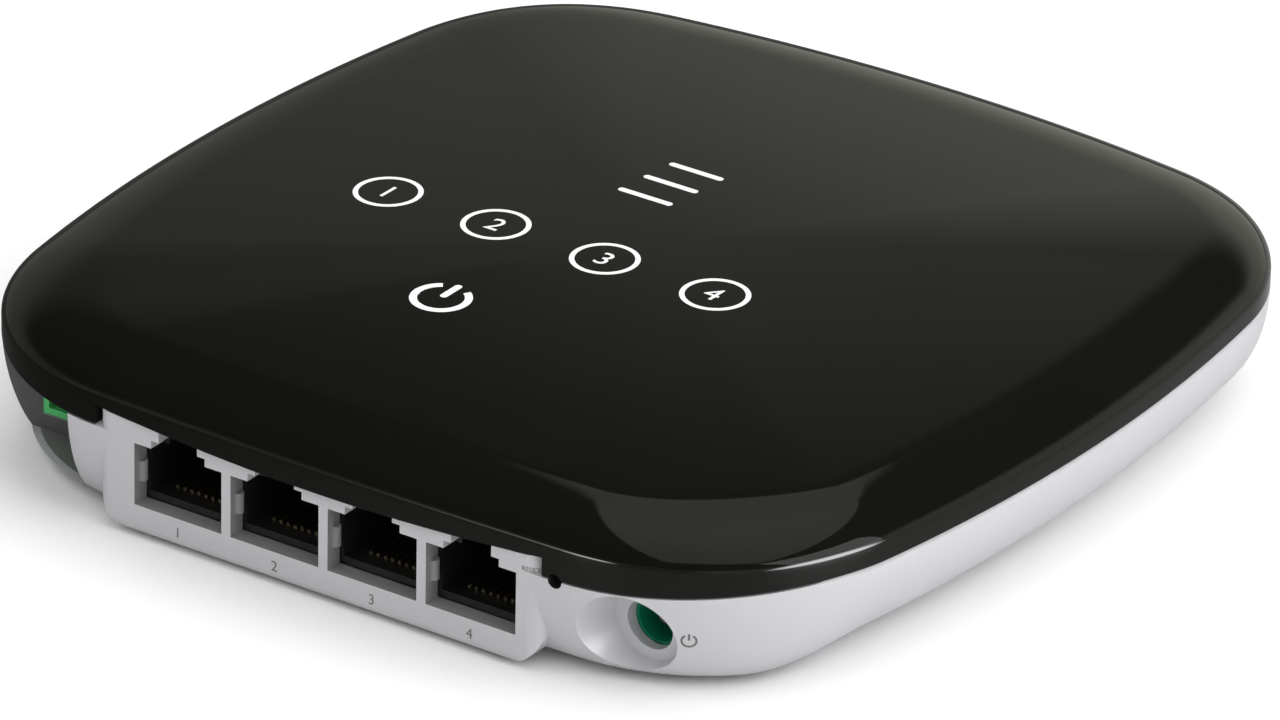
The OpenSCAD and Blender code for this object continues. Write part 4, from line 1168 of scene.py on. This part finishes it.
# Each finish: its kind, its darker and lighter colour, its roughness and the nodes that have it
NODE_FINISHES = {
    "board_green": (moulded, (0.012, 0.09, 0.04), (0.02, 0.13, 0.06), 0.35, ["main_board"]),
    "jack_black": (moulded, grey(0.006), grey(0.012), 0.4, ["jack_block"]),
    # Gold of the contacts, painted dark as painted shade inside the jacks
    "contact_gold": (metal, (0.12, 0.1, 0.06), (0.16, 0.13, 0.08), 0.45, ["jack_contacts"]),
    "fibre_green": (moulded, (0.08, 0.58, 0.16), (0.11, 0.66, 0.2), 0.35, ["fibre_adapter"]),
    "ceramic_white": (moulded, grey(0.8), grey(0.9), 0.2, ["alignment_sleeve"]),
    "module_steel": (metal, grey(0.5), grey(0.6), 0.3, ["optical_module"]),
    "can_tin": (metal, grey(0.55), grey(0.65), 0.3, ["optics_shield", "radio_shield"]),
    "inlet_green": (moulded, (0.004, 0.2, 0.1), (0.006, 0.26, 0.13), 0.35, ["power_jack"]),
    # Nickel of the power pin, painted dark as painted shade deep inside the inlet
    "pin_nickel": (metal, grey(0.1), grey(0.14), 0.45, ["power_pin"]),
    "switch_black": (moulded, grey(0.012), grey(0.02), 0.4, ["reset_switch", "switch_stand"]),
    "plunger_ivory": (moulded, (0.6, 0.55, 0.42), (0.68, 0.62, 0.5), 0.4, ["reset_plunger"]),
    "shade_black": (moulded, grey(0.01), grey(0.016), 0.5, ["light_shield"]),
    "guide_clear": (moulded, (0.75, 0.8, 0.82), (0.82, 0.86, 0.88), 0.12, ["light_guides"]),
    "lamp_cream": (moulded, (0.8, 0.74, 0.5), (0.86, 0.8, 0.58), 0.3, ["status_lamps"]),
    "chip_black": (moulded, grey(0.012), grey(0.02), 0.55, ["processor", "line_transformers"]),
    "pad_grey": (moulded, (0.25, 0.32, 0.4), (0.3, 0.37, 0.45), 0.7, ["thermal_pad"]),
    "plate_aluminium": (metal, grey(0.55), grey(0.68), 0.35, ["heat_plate"]),
    "capacitor_blue": (moulded, (0.02, 0.025, 0.06), (0.03, 0.036, 0.08), 0.4, ["buffer_capacitors"]),
    "ferrite_grey": (moulded, grey(0.03), grey(0.05), 0.6, ["power_inductor"]),
    "antenna_tin": (metal, grey(0.6), grey(0.7), 0.3, ["antenna_left", "antenna_right"]),
    "screw_steel": (metal, grey(0.4), grey(0.5), 0.35, ["board_screws", "case_screws"]),
    "foot_rubber": (moulded, grey(0.05), grey(0.08), 0.75, ["rubber_feet"]),
}


def dress(piece, material):
    """Gives a piece one material in all its slots."""
    piece.data.materials.clear()
    piece.data.materials.append(material)
    for face in piece.data.polygons:
        face.material_index = 0


# Operators

class GATEWAY_OT_cover(bpy.types.Operator):
    """Builds the gloss cover in place of its faceted solid"""

    bl_idname = "gateway.cover"
    bl_label = "Cover"

    def execute(self, context):
        cover = build_cover(context.scene.gateway_body, context.scene.gateway_panel)
        dress(cover, cover_gloss(context.scene.gateway_colours))
        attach(cover, BODY)
        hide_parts("top_cover")
        return {"FINISHED"}


class GATEWAY_OT_base(bpy.types.Operator):
    """Builds the satin base and its port panel in place of the faceted solid"""

    bl_idname = "gateway.base"
    bl_label = "Base"

    def execute(self, context):
        body, panel = context.scene.gateway_body, context.scene.gateway_panel
        base = build_base(body, panel)
        dress(base, base_satin(body, panel, context.scene.gateway_colours))
        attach(base, BODY)
        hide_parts("base_shell")
        return {"FINISHED"}


class GATEWAY_OT_marks(bpy.types.Operator):
    """Prints the marks on the cover and on the port side"""

    bl_idname = "gateway.marks"
    bl_label = "Marks"

    def execute(self, context):
        scene = context.scene
        white = cover_marks(scene.objects["cover"], scene.gateway_marks)
        dress(white, ink("mark_white", scene.gateway_colours.cover_marks, 0.1))
        dark = panel_marks(scene.objects["base"], scene.gateway_panel, scene.gateway_marks)
        dress(dark, ink("mark_grey", scene.gateway_colours.port_marks, 0.04))
        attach(white, BODY)
        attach(dark, BODY)
        return {"FINISHED"}


class GATEWAY_OT_finishes(bpy.types.Operator):
    """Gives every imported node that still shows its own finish"""

    bl_idname = "gateway.finishes"
    bl_label = "Finishes"

    def execute(self, context):
        for name, (make, low, high, roughness, nodes) in NODE_FINISHES.items():
            material = make(name, low, high, roughness)
            for node in nodes:
                dress(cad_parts[node], material)
        return {"FINISHED"}


class GATEWAY_OT_stage(bpy.types.Operator):
    """Lays the floor and sets up the light and the camera"""

    bl_idname = "gateway.stage"
    bl_label = "Stage"

    def execute(self, context):
        settings = context.scene.gateway_stage
        lay_floor(settings)
        context.scene.world = Surround("surround", settings.turn).world
        hang_key_lamp(context.scene, settings)
        aim_camera(context.scene, settings)
        return {"FINISHED"}


# Stage

FLOOR_HALF = 6.0
FLOOR_PATCHES = 1.0
FLOOR_LIGHTER = (0.92, 0.92, 0.92)

# The floor as reflections show it, painted dark to light from the left of the part to its right: painted
# shade and light in reflections
FLOOR_SEEN = (grey(0.06), grey(0.36))
FLOOR_SEEN_RUN = (-0.08, 0.06, 0.0, 1.0)

KEY_PLACE = Vector((1.0, 0.1, 0.7))

IMAGE_WIDTH = 1280
IMAGE_HEIGHT = 720
SENSOR_WIDTH = 36
CAMERA_CLIP = (0.05, 50)


def lay_floor(settings):
    """A wide pale floor under the part, painted darker in reflections as painted shade."""
    bm = bmesh.new()
    bmesh.ops.create_grid(bm, x_segments=1, y_segments=1, size=FLOOR_HALF)
    floor = part_object("floor", bm)
    finish = Finish("floor_pale", Roughness=0.5, Specular_IOR_Level=0.2)
    pale = finish.between(settings.floor, FLOOR_LIGHTER, finish.noise(FLOOR_PATCHES))
    x, _, _ = finish.parts(finish.place)
    # Painted reflection shade: the floor's colour in reflections, dark on the part's left and lighter on its
    # right
    floor_reflection_shade = finish.between(*FLOOR_SEEN, x.ramp(*FLOOR_SEEN_RUN))
    finish.feed("Base Color", finish.between(pale, floor_reflection_shade, finish.is_ray("Glossy")))
    dress(floor, finish.material)


def hang_key_lamp(scene, settings):
    """A square soft lamp on the right that looks at the part."""
    lamp = bpy.data.lights.new("key", "AREA")
    lamp.shape = "RECTANGLE"
    lamp.size = lamp.size_y = settings.key_size
    lamp.energy = settings.key_power
    holder = bpy.data.objects.new("key", lamp)
    scene.collection.objects.link(holder)
    holder.location = KEY_PLACE
    holder.rotation_euler = (-KEY_PLACE).to_track_quat("-Z", "Y").to_euler()


# Light of the surround, by direction. A run gives two limits of a direction's part and the value at each;
# a band gives two limits and the blur of both.

# Soft light: everywhere, and more from the right, from behind and from above
SOFT_LIGHT = (0.24, 0.32, 0.14, 1.35)

# Walls of the studio: fading upwards, and brighter towards the camera's right
WALL_RUN = (0.34, 0.52, 0.5, 0.03)
WALL_SIDE_RUN = (-0.1, 0.1, 0.55, 1.45)

# Soft box that the front corner of the cover shows: it widens upwards, more to the right than to the left
BOX_LEVEL = 0.446
BOX_SPREAD_RUN = (-0.01, 0.01, 0.392, 0.8)
BOX_EDGE_RUN = (0.0, 0.012, 1.0, 0.0)
BOX_FOOT_RUN = (0.545, 0.56, 0.0, 1.0)
BOX_BACK_RUN = (-0.5, -0.4, 0.0, 1.0)
BOX_LIGHT_RUN = (0.55, 0.95, 0.42, 0.9)

# Low strip ahead of the port side, turned a little to its left
STRIP_TURN = math.radians(30.4)
STRIP_BAND = (0.12, 0.28, 0.03)
STRIP_AHEAD_RUN = (0.84, 0.92, 0.0, 1.0)
STRIP_LIGHT_RUN = (-0.53, -0.27, 0.3, 16.0)

# Bright low panel on the right
SIDE_BAND = (0.08, 0.48, 0.05)
SIDE_RUN = (0.86, 0.94, 0.0, 1.0)
SIDE_LIGHT = 26.0

# Tint of what reflections show, away from that panel
WARM = (1, 1, 0.88)
WARM_RUN = (0.8, 0.9, 1.0, 0.0)


class Surround(Graph):
    """The world's light: white to the camera, soft on the part, and a graded studio in reflections."""

    def __init__(self, name, turn):
        self.world = bpy.data.worlds.new(name)
        self.world.use_nodes = True
        self.tree = self.world.node_tree
        x, y, z = self.parts(self.node("ShaderNodeTexCoord", {}, {}, "Generated"))
        everywhere, right, behind, over = SOFT_LIGHT
        soft = everywhere + right * x + behind * y + over * z
        studio = self.studio(x, y, z, turn)
        glossy = self.is_ray("Glossy")
        lit = soft + glossy * (studio - soft)
        strength = lit + self.is_ray("Camera") * (1.0 - lit)
        tint = self.between((1, 1, 1), WARM, glossy * x.ramp(*WARM_RUN))
        background = self.tree.nodes["Background"]
        self.tree.links.new(strength.socket, background.inputs["Strength"])
        self.tree.links.new(tint.socket, background.inputs["Color"])

    def studio(self, x, y, z, turn):
        """Light of the studio that reflections show, with the camera's turn round the part."""
        away = math.cos(turn) * y - math.sin(turn) * x
        across = math.cos(turn) * x + math.sin(turn) * y
        ahead = -math.sin(STRIP_TURN) * x - math.cos(STRIP_TURN) * y
        walls = z.ramp(*WALL_RUN) * across.ramp(*WALL_SIDE_RUN)
        spread = across.size() - across.ramp(*BOX_SPREAD_RUN) * (z - BOX_LEVEL)
        soft_box = z.ramp(*BOX_FOOT_RUN) * spread.ramp(*BOX_EDGE_RUN) * away.ramp(*BOX_BACK_RUN)
        strip = self.band(z, *STRIP_BAND) * ahead.ramp(*STRIP_AHEAD_RUN)
        side = SIDE_LIGHT * self.band(z, *SIDE_BAND) * x.ramp(*SIDE_RUN)
        return walls + z.ramp(*BOX_LIGHT_RUN) * soft_box + x.ramp(*STRIP_LIGHT_RUN) * strip + side

    def band(self, value, low, high, blur):
        """One between two limits, with soft edges, else nothing."""
        rise = value.ramp(low - blur, low + blur, 0.0, 1.0)
        return rise * value.ramp(high - blur, high + blur, 1.0, 0.0)


def aim_camera(scene, settings):
    """Stands the camera where the photograph was taken, without lens shift."""
    turn, lift, roll = settings.turn, settings.lift, settings.roll
    back = Vector((math.sin(turn) * math.cos(lift), -math.cos(turn) * math.cos(lift), math.sin(lift)))
    right = Vector((math.cos(turn), math.sin(turn), 0))
    up = back.cross(right)
    rolled_right = right * math.cos(roll) + up * math.sin(roll)
    rolled_up = up * math.cos(roll) - right * math.sin(roll)
    off_x = (settings.origin_x - IMAGE_WIDTH / 2) / settings.focal
    off_y = (settings.origin_y - IMAGE_HEIGHT / 2) / settings.focal
    z = (back + rolled_right * off_x - rolled_up * off_y).normalized()
    x = rolled_up.cross(z).normalized()
    y = z.cross(x)
    lens = bpy.data.cameras.new("camera")
    lens.sensor_fit = "HORIZONTAL"
    lens.sensor_width = SENSOR_WIDTH
    lens.lens = settings.focal / IMAGE_WIDTH * SENSOR_WIDTH
    lens.clip_start, lens.clip_end = CAMERA_CLIP
    camera = bpy.data.objects.new("camera", lens)
    scene.collection.objects.link(camera)
    turned = Matrix((x, y, z)).transposed().to_4x4()
    camera.matrix_world = Matrix.Translation(back * settings.distance) @ turned
    scene.camera = camera
    scene.view_settings.view_transform = "Standard"


# Panel, register and run

class GATEWAY_PT_tools(bpy.types.Panel):
    """Lists the steps that build the gateway, and its sizes and colours"""

    bl_label = "Gateway"
    bl_idname = "GATEWAY_PT_tools"
    bl_space_type = "VIEW_3D"
    bl_region_type = "UI"
    bl_category = "Gateway"

    def draw(self, context):
        for operator in OPERATORS:
            self.layout.operator(operator.bl_idname)
        for name, group in GROUPS.items():
            column = self.layout.column()
            for setting in group.__annotations__:
                column.prop(getattr(context.scene, name), setting)


GROUPS = {
    "gateway_body": BodySizes,
    "gateway_panel": PanelSizes,
    "gateway_marks": MarkSizes,
    "gateway_colours": MainColours,
    "gateway_stage": StageSettings,
}
OPERATORS = (GATEWAY_OT_cover, GATEWAY_OT_base, GATEWAY_OT_marks, GATEWAY_OT_finishes, GATEWAY_OT_stage)


def register():
    """Adds the settings, the operators and the panel to Blender."""
    for group in GROUPS.values():
        bpy.utils.register_class(group)
    for name, group in GROUPS.items():
        setattr(bpy.types.Scene, name, bpy.props.PointerProperty(type=group))
    for kind in OPERATORS + (GATEWAY_PT_tools,):
        bpy.utils.register_class(kind)


def unregister():
    """Takes them out again."""
    for kind in reversed(OPERATORS + (GATEWAY_PT_tools,)):
        bpy.utils.unregister_class(kind)
    for name, group in reversed(GROUPS.items()):
        delattr(bpy.types.Scene, name)
        bpy.utils.unregister_class(group)


def main():
    """Builds the gateway."""
    register()
    bpy.ops.gateway.cover()
    bpy.ops.gateway.base()
    bpy.ops.gateway.marks()
    bpy.ops.gateway.finishes()
    bpy.ops.gateway.stage()


if __name__ == "__main__":
    main()
